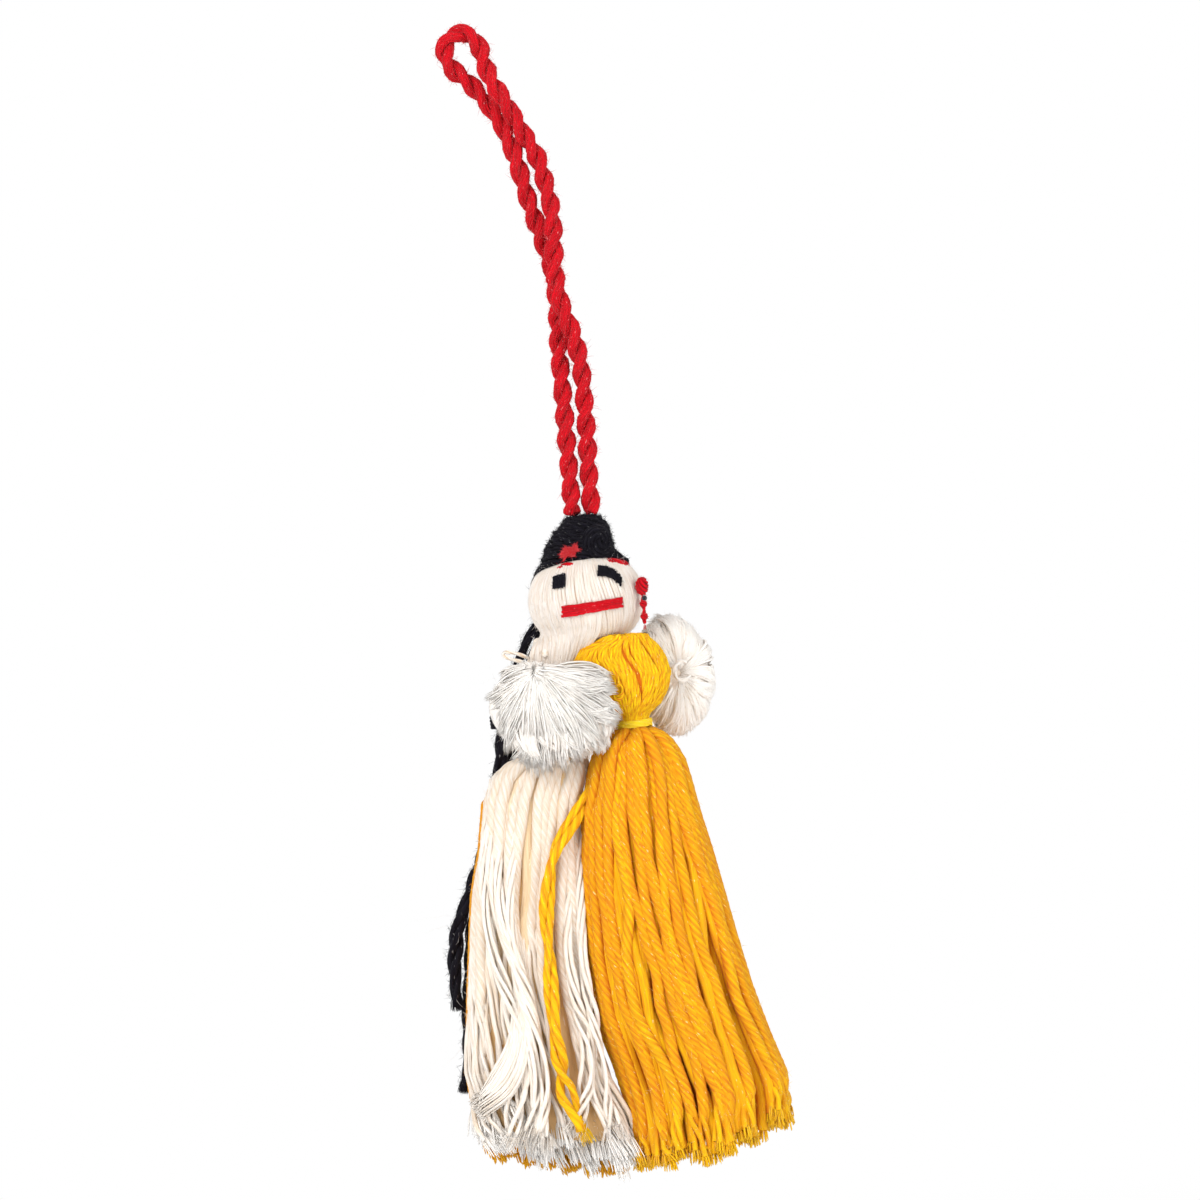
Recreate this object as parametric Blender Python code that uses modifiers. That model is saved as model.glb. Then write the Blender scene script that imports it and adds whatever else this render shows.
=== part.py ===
# Yarn doll on a hanging loop: a wound head, two tied bundles, tassel skirts, tuft arms and tails of hair
#
# Metres, +Z up. The origin is the inner top of the loop's eye, which rests on whatever the doll hangs from.
# The front of the doll faces -Y. Places in the doll have x to the right, y to the back and z up. Those of
# the cord and crown are measured from the crown's top, those of the hair and face from the head's centre,
# those of the body and arms from the chin, and those of the skirts from the tops of their bundles' ties.

import math

import bmesh
import bpy
import numpy as np
from mathutils import Matrix, Vector

# Gaps
GAP = 0.0003
SWAY_GAP = 0.0008
OVERRUN = 0.004

# Hanging cord
CORD_DIAMETER = 0.0026
CORD_STEP = 0.0026
CROWN_DROP = 0.0715
CROWN_SIDE = 0.0133
LEG_SPREAD = 0.0032

# Crown and its knot
CROWN_RADIUS = 0.0026
CROWN_BORE = 0.0012
CROWN_FLARE = 0.0042
CROWN_HEIGHT = 0.0037

# Head
HEAD_SIDE = -0.0007
HEAD_RADIUS = 0.00875
HEAD_HALF_HEIGHT = 0.0076
COVER_WALL = 0.0012
NECK_RADIUS = 0.0019
NECK_ROOM = 0.0005
FACE_TILT = math.radians(5.5)

# Hair, from the head's centre; turns are measured from the front towards +X
CAP_SEAT_RADIUS = 0.0046
CAP_THICKNESS = 0.0008
CAP_EDGE = 0.0006
HAIRLINE_RISE = 0.0058
SWELL_SHARES = ((0.45, 0.22), (0.76, 0.50), (0.94, 0.78))
HAIR_THICKNESS = 0.0010
BAND_HEIGHT = 0.0008
BAND_THICKNESS = 0.0004
HAIR_BACK_FALL = 0.0019
HAIR_BACK_FRONT = 0.0006
BUN_TURN = math.radians(37)
BUN_RISE = 0.0082
BUN_RADII = (0.0015, 0.0019, 0.0025)
BOW_TURN = math.radians(-15.5)
BOW_RISE = 0.0072
BOW_RADII = (0.0014, 0.0008, 0.0009)

# Stitches of the face, from the head's centre
STITCH_THICKNESS = 0.0005
LEFT_EYE_SIDE = -0.0038
LEFT_EYE_RISE = 0.0031
LEFT_EYE_WIDTH = 0.0022
LEFT_EYE_HEIGHT = 0.0024
LEFT_EYE_SHARES = (0.55, 1, 1, 0.55)
RIGHT_EYE_SIDE = 0.0039
RIGHT_EYE_RISE = 0.0032
RIGHT_EYE_WIDTH = 0.0034
RIGHT_EYE_HEIGHT = 0.0022
RIGHT_EYE_SHARES = (0.75, 1, 0.9, 0.75, 0.45)
MOUTH_SIDE = 0.0010
MOUTH_FALL = 0.0012
MOUTH_WIDTH = 0.0098
MOUTH_HEIGHT = 0.0016
MOUTH_SHARES = (0.9, 1, 0.9, 0.85, 0.85, 0.85, 0.9)

# Ear ornament
EAR_ANGLE = math.radians(28)
EAR_RISE = 0.0014
EAR_KNOT_RADII = (0.0010, 0.0010, 0.0014)
EAR_THREAD_DIAMETER = 0.0006
EAR_THREAD_LENGTH = 0.0039
EAR_BEAD_RADIUS = 0.0009
EAR_BEAD_HEIGHT = 0.0013
EAR_BEAD_SHARES = (0.24, 0.72)

# Neck and core of the body, from the chin
NECK_TIE_FALL = 0.0007
NECK_TIE_HEIGHT = 0.0008
NECK_TIE_THICKNESS = 0.0008
CORE_ROUTE = (
    (-0.0007, 0.0000, 0.0011),
    (-0.0007, 0.0000, -0.0018),
    (-0.0001, 0.0008, -0.0029),
    (0.0012, 0.0022, -0.0047),
    (0.0016, 0.0030, -0.0077),
    (0.0015, 0.0032, -0.0109),
    (0.0014, 0.0032, -0.0123),
)
CORE_WIDEST = 0.0032
CORE_WAIST_SHARES = (0.22, 0.71, 1.0, 0.61, 0.17)

# White bundle, from the neck to its tie
WHITE_RISE = 0.0017
WHITE_LENGTH = 0.0171
WHITE_HALF_WIDTH = 0.0053
WHITE_HALF_DEPTH = 0.0028
WHITE_SIDE = -0.0081
WHITE_BACK = 0.0010
WHITE_NECK_RADIUS = 0.0026
WHITE_BUNDLE_SHARES = (
    (0.0, -0.14, -0.6, 0.84), (0.14, 0.12, 0.2, 0.87), (0.37, 0.88, 1.0, 0.89), (0.61, 0.96, 1.0, 0.99),
    (0.81, 0.37, 0.4, 1.0), (0.9, 0.0, 0.0, 1.0), (1.0, 0.0, 0.0, 1.0),
)

# Yellow bundle, from its fold at the chin to its tie
YELLOW_RISE = 0.0025
YELLOW_LENGTH = 0.0146
YELLOW_HALF_WIDTH = 0.0064
YELLOW_HALF_DEPTH = 0.0033
YELLOW_SIDE = 0.0055
YELLOW_FRONT = -0.0026
YELLOW_BULGE = -0.0023
YELLOW_NECK_RADIUS = 0.0022
YELLOW_BUNDLE_SHARES = (
    (0.0, 0.24, -0.14, 0.95, 1.0), (0.1, 0.70, 0.58, 0.72, 1.0), (0.22, 0.97, 1.0, 0.78, 1.0),
    (0.4, 1.0, 1.0, 0.94, 0.95), (0.58, 0.82, 0.91, 0.98, 0.8), (0.74, 0.48, 0.58, 1.0, 0.5),
    (0.86, 0.02, 0.04, 1.0, 0.15), (1.0, 0.0, 0.0, 1.0, 0.0),
)

# Ties at the waist
TIE_THICKNESS = 0.0007
TIE_HEIGHT = 0.0014
TIE_ROUND_SHARE = 0.35

# Skirts: sides from the crown's axis, falls as shares of the way from the top to the hem
SKIRT_SQUARENESS = 2.4
SKIRT_RINGS = 12
RING_SPACING_POWER = 1.15
POINTS_PER_FOLD = 4
FOLD_DEPTH = 0.0007
FOLD_TOP_SHARE = 0.35
HEM_RISE = 0.0050
HEM_HALF_SPAN = 0.0250
HEM_JAG = 0.0009
SKIRT_SEAT = 0.0006
SKIRT_LENGTH = 0.0609
SKIRT_LEFT = -0.0242
SKIRT_RIGHT = 0.0250
SKIRT_DIVIDE = -0.0048
SKIRT_DEPTH = 0.0170
WHITE_FOLDS = 14
YELLOW_FOLDS = 16
UNDERSKIRT_FOLDS = 14
UNDERSKIRT_STEP = 0.0006
UNDERSKIRT_PEEK = 0.0006
WHITE_HINGE_FRONT = -0.0015
FALL_SHARES = (0, 0.21, 0.58, 1)
WHITE_SKIRT_FRONT = (-0.0044, -0.0074, -0.0090, -0.0102)
WHITE_SKIRT_BACK = (0.0020, 0.0004, -0.0003, -0.0003)
UNDERSKIRT_BACK = (0.0056, 0.0064, 0.0072, 0.0076)
WHITE_LEFT_SHARES = (
    (0, 0.64), (0.03, 0.69), (0.09, 0.75), (0.21, 0.79), (0.33, 0.855), (0.58, 0.93), (0.8, 1), (0.93, 0.97),
    (1, 0.9),
)
DIVIDE_SHARES = (
    (0, 0.33), (0.09, 0.6), (0.2, 0.87), (0.33, 0.94), (0.5, 1), (0.6, 1.03), (0.7, 0.9), (0.78, 0.62),
    (0.87, 0.24), (1, 0.02),
)
YELLOW_FALL_SHARES = (0, 0.014, 0.035, 0.07, 0.12, 0.17, 0.31, 0.5, 0.64, 0.77, 0.88, 1)
YELLOW_LEFT_SHARES = (-0.15, 0.0, 0.20, 0.40, 0.58, 0.80, 0.92, 1.0, 0.86, 0.30, -0.04, -0.04)
YELLOW_RIGHT_SHARES = (0.0, 0.36, 0.44, 0.50, 0.53, 0.56, 0.64, 0.74, 0.82, 0.91, 0.99, 0.99)
YELLOW_DEPTH_SHARES = (0.1, 0.34, 0.46, 0.55, 0.64, 0.72, 0.84, 0.93, 0.96, 0.98, 1, 1)
YELLOW_TOP_SHARE = 0.5

# Loose yellow yarn over the white skirt: side, and fall from the skirt's top
LOOSE_DIAMETER = 0.0018
LOOSE_BULGE_SHARE = 0.8
LOOSE_ROUTE = (
    (-0.0046, -0.0077),
    (-0.0070, -0.0119),
    (-0.0085, -0.0157),
    (-0.0096, -0.0226),
    (-0.0096, -0.0287),
    (-0.0097, -0.0350),
    (-0.0095, -0.0420),
    (-0.0088, -0.0477),
    (-0.0082, -0.0502),
)

# Arms, from the chin
LEFT_ARM_PLACE = (-0.0068, -0.0066, -0.0078)
LEFT_ARM_RADII = (0.0091, 0.0048, 0.0075)
LEFT_ARM_HINGE = (-0.0071, -0.0044, 0.0001)
RIGHT_ARM_PLACE = (0.0118, 0.0054, -0.0047)
RIGHT_ARM_RADII = (0.0067, 0.0050, 0.0094)
RIGHT_ARM_HINGE = (0.0052, 0.0042, -0.0025)
ARM_TIE_DIAMETER = 0.0014
TUFTS_AROUND = 24
TUFT_DEPTH_SHARE = 0.05

# Loop of yarn on the right arm, from the arm's centre
ARM_LOOP_RADIUS = 0.0011
ARM_LOOP_YARN = 0.0008
ARM_LOOP_SIDE = 0.0014
ARM_LOOP_RISE = 0.0006

# Tails of hair, from the head's centre
TAIL_DIAMETER = 0.0024
TAIL_TIE_YARN = 0.0006
TAIL_TIED_POINT = 4
TAIL_HINGE = (-0.0073, 0.0060, -0.0023)
SHORT_TAIL_ROUTE = (
    (-0.0078, 0.0056, -0.0024),
    (-0.0085, 0.0060, -0.0043),
    (-0.0101, 0.0066, -0.0068),
    (-0.0117, 0.0073, -0.0110),
    (-0.0140, 0.0086, -0.0176),
    (-0.0150, 0.0096, -0.0260),
    (-0.0165, 0.0098, -0.0303),
    (-0.0181, 0.0098, -0.0370),
    (-0.0207, 0.0098, -0.0430),
    (-0.0229, 0.0098, -0.0481),
    (-0.0237, 0.0098, -0.0523),
    (-0.0240, 0.0098, -0.0563),
    (-0.0239, 0.0098, -0.0603),
)
LONG_TAIL_ROUTE = (
    (-0.0062, 0.0079, -0.0024),
    (-0.0069, 0.0083, -0.0043),
    (-0.0083, 0.0089, -0.0068),
    (-0.0100, 0.0096, -0.0110),
    (-0.0124, 0.0109, -0.0176),
    (-0.0133, 0.0119, -0.0260),
    (-0.0147, 0.0121, -0.0303),
    (-0.0163, 0.0121, -0.0370),
    (-0.0187, 0.0121, -0.0430),
    (-0.0206, 0.0120, -0.0481),
    (-0.0214, 0.0119, -0.0523),
    (-0.0218, 0.0117, -0.0563),
    (-0.0222, 0.0115, -0.0603),
    (-0.0225, 0.0113, -0.0656),
    (-0.0231, 0.0112, -0.0703),
    (-0.0238, 0.0111, -0.0733),
)

# Fineness of the meshes
BALL_AROUND = 20
BALL_RINGS = 12
TURN_STEPS = 28
BUNDLE_POINTS = 24
CURVE_SIDES = 2
SHARP_EDGE = math.radians(40)
SCREW_MERGE = 0.00002
SMOOTH_STEPS = 24
NEIGHBOUR_SHARE = 4
CROWN_POINTS = 7
CAP_POINTS = 8
BAND_POINTS = 3

# Route of the hanging cord from the crown's top: up the right leg, round the eye and down the left leg
CORD_ROUTE = (
    (0.0016, 0.0000, 0.0062),
    (0.0017, 0.0000, 0.0125),
    (0.0016, 0.0000, 0.0164),
    (0.0014, -0.0004, 0.0211),
    (0.0006, -0.0012, 0.0263),
    (-0.0005, -0.0016, 0.0298),
    (-0.0013, -0.0017, 0.0329),
    (-0.0016, -0.0017, 0.0358),
    (-0.0016, -0.0017, 0.0386),
    (-0.0015, -0.0017, 0.0415),
    (-0.0014, -0.0013, 0.0448),
    (-0.0018, -0.0006, 0.0482),
    (-0.0030, -0.0002, 0.0537),
    (-0.0049, -0.0006, 0.0576),
    (-0.0070, -0.0013, 0.0620),
    (-0.0091, -0.0011, 0.0659),
    (-0.0100, -0.0004, 0.0688),
    (-0.0106, 0.0000, 0.0713),
    (-0.0118, 0.0000, 0.0729),
    (-0.0134, 0.0000, 0.0734),
    (-0.0150, 0.0000, 0.0727),
    (-0.0158, 0.0001, 0.0711),
    (-0.0156, 0.0004, 0.0694),
    (-0.0145, 0.0009, 0.0678),
    (-0.0125, 0.0013, 0.0660),
    (-0.0103, 0.0014, 0.0631),
    (-0.0088, 0.0012, 0.0608),
    (-0.0076, 0.0008, 0.0583),
    (-0.0064, 0.0002, 0.0545),
    (-0.0050, 0.0004, 0.0482),
    (-0.0034, 0.0012, 0.0424),
    (-0.0024, 0.0016, 0.0387),
    (-0.0018, 0.0017, 0.0358),
    (-0.0017, 0.0017, 0.0329),
    (-0.0017, 0.0016, 0.0299),
    (-0.0018, 0.0012, 0.0262),
    (-0.0018, 0.0004, 0.0211),
    (-0.0017, 0.0000, 0.0164),
    (-0.0017, 0.0000, 0.0125),
    (-0.0016, 0.0000, 0.0062),
)


# Heights that follow from the sizes above
HEAD_DROP = CROWN_HEIGHT + CAP_THICKNESS + 2 * GAP + HEAD_HALF_HEIGHT
CHIN_DROP = HEAD_DROP + HEAD_HALF_HEIGHT
NECK_TIE_RADIUS = NECK_RADIUS + GAP + NECK_TIE_THICKNESS
WHITE_TOP = WHITE_RISE - CHIN_DROP
WHITE_FOOT = WHITE_TOP - WHITE_LENGTH
YELLOW_TOP = YELLOW_RISE - CHIN_DROP
YELLOW_FOOT = YELLOW_TOP - YELLOW_LENGTH
SKIRT_TOP = WHITE_FOOT - SKIRT_SEAT
YELLOW_SKIRT_TOP = YELLOW_FOOT - SKIRT_SEAT
HEM = SKIRT_TOP - SKIRT_LENGTH


def spot(x, y, z):
    """A place in the model from a place measured from the top of the crown."""
    return Vector((CROWN_SIDE + x, y, z - CROWN_DROP))


def head_spot(x, y, z):
    """A place in the model from a place measured from the centre of the head."""
    return spot(HEAD_SIDE + x, y, z - HEAD_DROP)


def body_spot(x, y, z):
    """A place in the model from a place below the crown's top and measured in height from the chin."""
    return spot(x, y, z - CHIN_DROP)


def clear_scene():
    for obj in list(bpy.data.objects):
        bpy.data.objects.remove(obj, do_unlink=True)


def make_collection(name):
    made = bpy.data.collections.new(name)
    bpy.context.scene.collection.children.link(made)
    return made


def make_material(name, colour, roughness):
    """A plain yarn material."""
    made = bpy.data.materials.new(name)
    made.use_nodes = True
    shader = made.node_tree.nodes["Principled BSDF"]
    shader.inputs["Base Color"].default_value = (*colour, 1.0)
    shader.inputs["Roughness"].default_value = roughness
    shader.inputs["Metallic"].default_value = 0.0
    made.diffuse_color = (*colour, 1.0)
    return made


def make_pivot(name, place, parent=None):
    """An empty on a joint's axis, which carries the pieces that turn about it."""
    pivot = bpy.data.objects.new(name, None)
    DOLL.objects.link(pivot)
    pivot.empty_display_size = CROWN_RADIUS
    pivot.location = place
    if parent is not None:
        carry(pivot, parent)
    return pivot


def carry(obj, parent):
    """Parents an object without moving it."""
    bpy.context.view_layer.update()
    obj.parent = parent
    obj.matrix_parent_inverse = parent.matrix_world.inverted()


def move_to(obj, collection):
    for holder in list(obj.users_collection):
        holder.objects.unlink(obj)
    collection.objects.link(obj)


def finish(obj, material, pivot):
    """Puts a piece in the doll's collection with its material, on the pivot that carries it."""
    move_to(obj, DOLL)
    obj.data.materials.clear()
    obj.data.materials.append(material)
    if obj.type == "MESH":
        obj.data.shade_smooth()
        obj.data.set_sharp_from_angle(angle=SHARP_EDGE)
    carry(obj, pivot)


def cut(obj, cutter):
    """Takes the cutter's volume away from the object, and keeps the cutter hidden."""
    move_to(cutter, CUTTERS)
    cutter.hide_render = True
    cutter.display_type = "WIRE"
    modifier = obj.modifiers.new(cutter.name, "BOOLEAN")
    modifier.operation = "DIFFERENCE"
    modifier.solver = "EXACT"
    modifier.object = cutter


def object_from(name, bm, place=(0, 0, 0)):
    """A mesh object from a bmesh."""
    mesh = bpy.data.meshes.new(name)
    bm.to_mesh(mesh)
    bm.free()
    obj = bpy.data.objects.new(name, mesh)
    obj.location = place
    bpy.context.scene.collection.objects.link(obj)
    return obj


def ball(name, place, radii, margin=0.0):
    """An ellipsoid, enlarged by a margin where it serves as room for another piece."""
    bm = bmesh.new()
    shape = Matrix.Diagonal((*(r + margin for r in radii), 1))
    bmesh.ops.create_uvsphere(bm, u_segments=BALL_AROUND, v_segments=BALL_RINGS, radius=1, matrix=shape)
    return object_from(name, bm, place)


def tuft(name, place, radii, margin=0.0):
    """A tied tuft of yarn: an ellipsoid with shallow grooves that run from pole to pole, front to back."""
    bm = bmesh.new()
    facing = Matrix.Rotation(math.pi / 2, 4, "X")
    bmesh.ops.create_uvsphere(bm, u_segments=TUFTS_AROUND, v_segments=BALL_RINGS, radius=1, matrix=facing)
    wide, deep, high = (radius + margin for radius in radii)
    for vert in bm.verts:
        x, y, z = vert.co
        wave = math.cos(TUFTS_AROUND * math.atan2(z, x) / 2) * math.hypot(x, z)
        groove = 1 - TUFT_DEPTH_SHARE * wave
        vert.co = (x * groove * wide, y * deep, z * groove * high)
    return object_from(name, bm, place)


def rod(name, start, end, diameter):
    """A straight round tie of yarn between two places."""
    bm = bmesh.new()
    along = end - start
    turn = Vector((0, 0, 1)).rotation_difference(along).to_matrix().to_4x4()
    radius = diameter / 2
    bmesh.ops.create_cone(
        bm,
        segments=BALL_RINGS,
        radius1=radius,
        radius2=radius,
        depth=along.length,
        cap_ends=True,
        matrix=turn,
    )
    return object_from(name, bm, (start + end) / 2)


def turned(name, place, profile, closed=True):
    """A profile of (radius, height) points turned about the vertical through place."""
    mesh = bpy.data.meshes.new(name)
    count = len(profile)
    edges = [(k, (k + 1) % count) for k in range(count if closed else count - 1)]
    mesh.from_pydata([(r, 0, z) for r, z in profile], edges, [])
    obj = bpy.data.objects.new(name, mesh)
    obj.location = place
    bpy.context.scene.collection.objects.link(obj)
    screw = obj.modifiers.new("turn", "SCREW")
    screw.axis = "Z"
    screw.steps = screw.render_steps = TURN_STEPS
    screw.use_merge_vertices = True
    screw.merge_threshold = SCREW_MERGE
    screw.use_smooth_shade = True
    return obj


def smooth_route(points, step):
    """Points a step apart on a smooth curve through the given points."""
    points = np.array(points, float)
    ends = np.vstack([2 * points[0] - points[1], points, 2 * points[-1] - points[-2]])
    fine = []
    for p0, p1, p2, p3 in zip(ends, ends[1:], ends[2:], ends[3:]):
        for t in np.linspace(0, 1, SMOOTH_STEPS, endpoint=False):
            bend = (2 * p0 - 5 * p1 + 4 * p2 - p3) * t**2 + (3 * p1 - p0 - 3 * p2 + p3) * t**3
            fine.append((2 * p1 + (p2 - p0) * t + bend) / 2)
    fine = np.array([*fine, points[-1]])
    run = np.concatenate([[0], np.cumsum(np.linalg.norm(np.diff(fine, axis=0), axis=1))])
    along = np.linspace(0, run[-1], max(2, round(run[-1] / step) + 1))
    return np.stack([np.interp(along, run, fine[:, k]) for k in range(3)], axis=1)


def tube(name, route, diameter, place, width_shares=None):
    """A round yarn or cord with closed ends; place turns the route's points into places in the model."""
    curve = bpy.data.curves.new(name, "CURVE")
    curve.dimensions = "3D"
    curve.bevel_depth = diameter / 2
    curve.bevel_resolution = CURVE_SIDES
    curve.use_fill_caps = True
    spline = curve.splines.new("POLY")
    spline.points.add(len(route) - 1)
    for k, (point, step) in enumerate(zip(spline.points, route)):
        point.co = (*place(*step), 1)
        point.radius = width_shares[k] if width_shares else 1
    obj = bpy.data.objects.new(name, curve)
    bpy.context.scene.collection.objects.link(obj)
    return obj


def as_mesh(curve_obj):
    """A mesh object with the curve object's surface, in place of the curve object."""
    name = curve_obj.name
    bpy.context.view_layer.update()
    made = bpy.data.meshes.new_from_object(curve_obj.evaluated_get(bpy.context.evaluated_depsgraph_get()))
    bpy.data.objects.remove(curve_obj, do_unlink=True)
    bm = bmesh.new()
    bm.from_mesh(made)
    bmesh.ops.remove_doubles(bm, verts=bm.verts, dist=SCREW_MERGE)
    bpy.data.meshes.remove(made)
    return object_from(name, bm)


def loft(name, rings):
    """A closed solid through rings of points, top to bottom, with a fan over each end."""
    around = rings.shape[1]
    bm = bmesh.new()
    rows = [[bm.verts.new(spot(*p)) for p in ring] for ring in rings]
    for above, below in zip(rows, rows[1:]):
        for k in range(around):
            n = (k + 1) % around
            bm.faces.new((above[k], below[k], below[n], above[n]))
    for ring, row in ((rings[0], rows[0]), (rings[-1], rows[-1])):
        middle = bm.verts.new(spot(*ring.mean(axis=0)))
        for k in range(around):
            bm.faces.new((row[k], row[(k + 1) % around], middle))
    bmesh.ops.recalc_face_normals(bm, faces=bm.faces)
    return object_from(name, bm)


def oval(angles, half_width, half_depth, squareness=2.0):
    """Points of an oval, fuller at the corners as squareness rises above 2."""
    across, back = np.cos(angles), np.sin(angles)
    size = (np.abs(across) ** squareness + np.abs(back) ** squareness) ** (-1 / squareness)
    return across * size * half_width, back * size * half_depth


def tie_ring(name, place, inner, thickness, height):
    """Turns of tying yarn round a neck: a ring with a rounded outside."""
    outer, half = inner + thickness, height / 2
    shoulder, crest = outer - thickness * TIE_ROUND_SHARE, half - height * TIE_ROUND_SHARE
    upper = [(inner, half), (shoulder, half), (outer, crest)]
    lower = [(radius, -height) for radius, height in reversed(upper)]
    return turned(name, place, upper + lower)


# Hanging cord and crown


def make_hanger():
    """The red cord, folded in two, with its eye at the model's origin."""
    foot = GAP + CORD_DIAMETER
    right = [(LEG_SPREAD / 2, 0, GAP), (LEG_SPREAD / 2, 0, foot)]
    left = [(-LEG_SPREAD / 2, 0, foot), (-LEG_SPREAD / 2, 0, GAP)]
    route = smooth_route([*right, *CORD_ROUTE, *left], CORD_STEP)
    apart = np.linalg.norm(route[:, None] - route[None], axis=2)
    order = np.arange(len(route))
    others = apart[np.abs(order[:, None] - order) * CORD_STEP > CORD_DIAMETER * NEIGHBOUR_SHARE]
    length = np.linalg.norm(np.diff(route, axis=0), axis=1).sum()
    print(f"hanger_cord: length {length:.4f} m, {len(route)} points")
    print(f"hanger_cord: least gap to itself {others.min() - CORD_DIAMETER:.5f} m")
    finish(tube("hanger_cord", route, CORD_DIAMETER, spot), RED, EYE_PIVOT)


def crown_outline(bore, margin=0.0):
    """The crown's outline about the swing's pivot: part of a ball, then a flare to its foot."""
    radius, flare = CROWN_RADIUS + margin, CROWN_FLARE + margin
    angles = np.linspace(math.asin(bore / radius), math.pi / 2, CROWN_POINTS)
    foot = CROWN_RADIUS - CROWN_HEIGHT
    arc = [(radius * math.sin(a), radius * math.cos(a)) for a in angles]
    return [*arc, ((radius + flare) / 2, foot / 2 + margin), (flare, foot + margin)]


def make_crown():
    """The wound crown, a ball seat about the swing's pivot, and the knot in its bore."""
    outline = crown_outline(CROWN_BORE)
    centre = spot(0, 0, -CROWN_RADIUS)
    profile = [*outline, (CROWN_BORE, outline[-1][1])]
    finish(turned("crown_binding", centre, profile), BLACK, HEAD_PIVOT)
    finish(ball("hanger_knot", centre, [CROWN_BORE - GAP] * 3), RED, SWIVEL_PIVOT)


def crown_room(name):
    """The crown's outer shape, enlarged by the gap and closed underneath, for cutting what lies on it."""
    grown = crown_outline(0, GAP)
    foot = grown[-1][1] - OVERRUN
    profile = [*grown, (grown[-1][0], foot), (0, foot)]
    return turned(name, spot(0, 0, -CROWN_RADIUS), profile, closed=False)


# Head and hair


def head_radius_at(z, margin=0.0):
    """Radius of the head's ball, enlarged by a margin, at a height from its centre."""
    return (HEAD_RADIUS + margin) * math.sqrt(max(0, 1 - (z / (HEAD_HALF_HEIGHT + margin)) ** 2))


def head_arc(margin, z_from, z_to, count):
    """Points of the head's outline, enlarged by a margin, between two heights from its centre."""
    half = HEAD_HALF_HEIGHT + margin
    start, stop = (math.acos(max(-1, min(1, z / half))) for z in (z_from, z_to))
    angles = np.linspace(start, stop, count)
    return [((HEAD_RADIUS + margin) * math.sin(a), half * math.cos(a)) for a in angles]


def head_room(name, margin):
    """The head's ball enlarged by a margin, for cutting what lies against it."""
    return ball(name, head_spot(0, 0, 0), (HEAD_RADIUS, HEAD_RADIUS, HEAD_HALF_HEIGHT), margin)


def make_head():
    """The ball of the head: its core and the wound cover, open at the neck."""
    hole = NECK_RADIUS + NECK_ROOM
    inner_radius = HEAD_RADIUS - COVER_WALL
    inner_half = HEAD_HALF_HEIGHT - COVER_WALL
    outer_angles = np.linspace(0, math.pi - math.asin(hole / HEAD_RADIUS), BALL_RINGS + 3)
    inner_angles = np.linspace(math.pi - math.asin(hole / inner_radius), 0, BALL_RINGS - 2)
    outside = [(HEAD_RADIUS * math.sin(a), HEAD_HALF_HEIGHT * math.cos(a)) for a in outer_angles]
    inside = [(inner_radius * math.sin(a), inner_half * math.cos(a)) for a in inner_angles]
    cover = turned("head_cover", head_spot(0, 0, 0), [*outside, *inside], closed=False)
    finish(cover, WHITE, HEAD_PIVOT)
    core = (inner_radius, inner_radius, inner_half)
    finish(ball("head_core", head_spot(0, 0, 0), core, -GAP), WHITE, HEAD_PIVOT)


def cap_outline(margin=0.0):
    """The cap's outer outline from its middle to its rim, enlarged by a margin, about the head's centre."""
    seat = HEAD_DROP - CROWN_HEIGHT - GAP
    rim = head_radius_at(HAIRLINE_RISE) + GAP + CAP_EDGE
    swell = [
        (CAP_SEAT_RADIUS + (rim - CAP_SEAT_RADIUS) * out, seat + (HAIRLINE_RISE - seat) * down)
        for out, down in SWELL_SHARES
    ]
    outline = [(CAP_SEAT_RADIUS, seat), *swell, (rim, HAIRLINE_RISE)]
    return [(0, seat + margin), *((r + margin, z + margin) for r, z in outline)]


def cap_room(name):
    """The cap's outer shape, enlarged by the gap and closed underneath, for cutting what lies on it."""
    grown = cap_outline(GAP)
    foot = HAIRLINE_RISE - OVERRUN
    profile = [*grown, (grown[-1][0], foot), (0, foot)]
    return turned(name, head_spot(0, 0, 0), profile, closed=False)


def on_cap(turn, rise):
    """A place on the cap's surface, at a turn from the front and a height from the head's centre."""
    outline = cap_outline()
    radius = np.interp(-rise, [-z for _, z in outline], [r for r, _ in outline])
    return head_spot(radius * math.sin(turn), -radius * math.cos(turn), rise)


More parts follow.
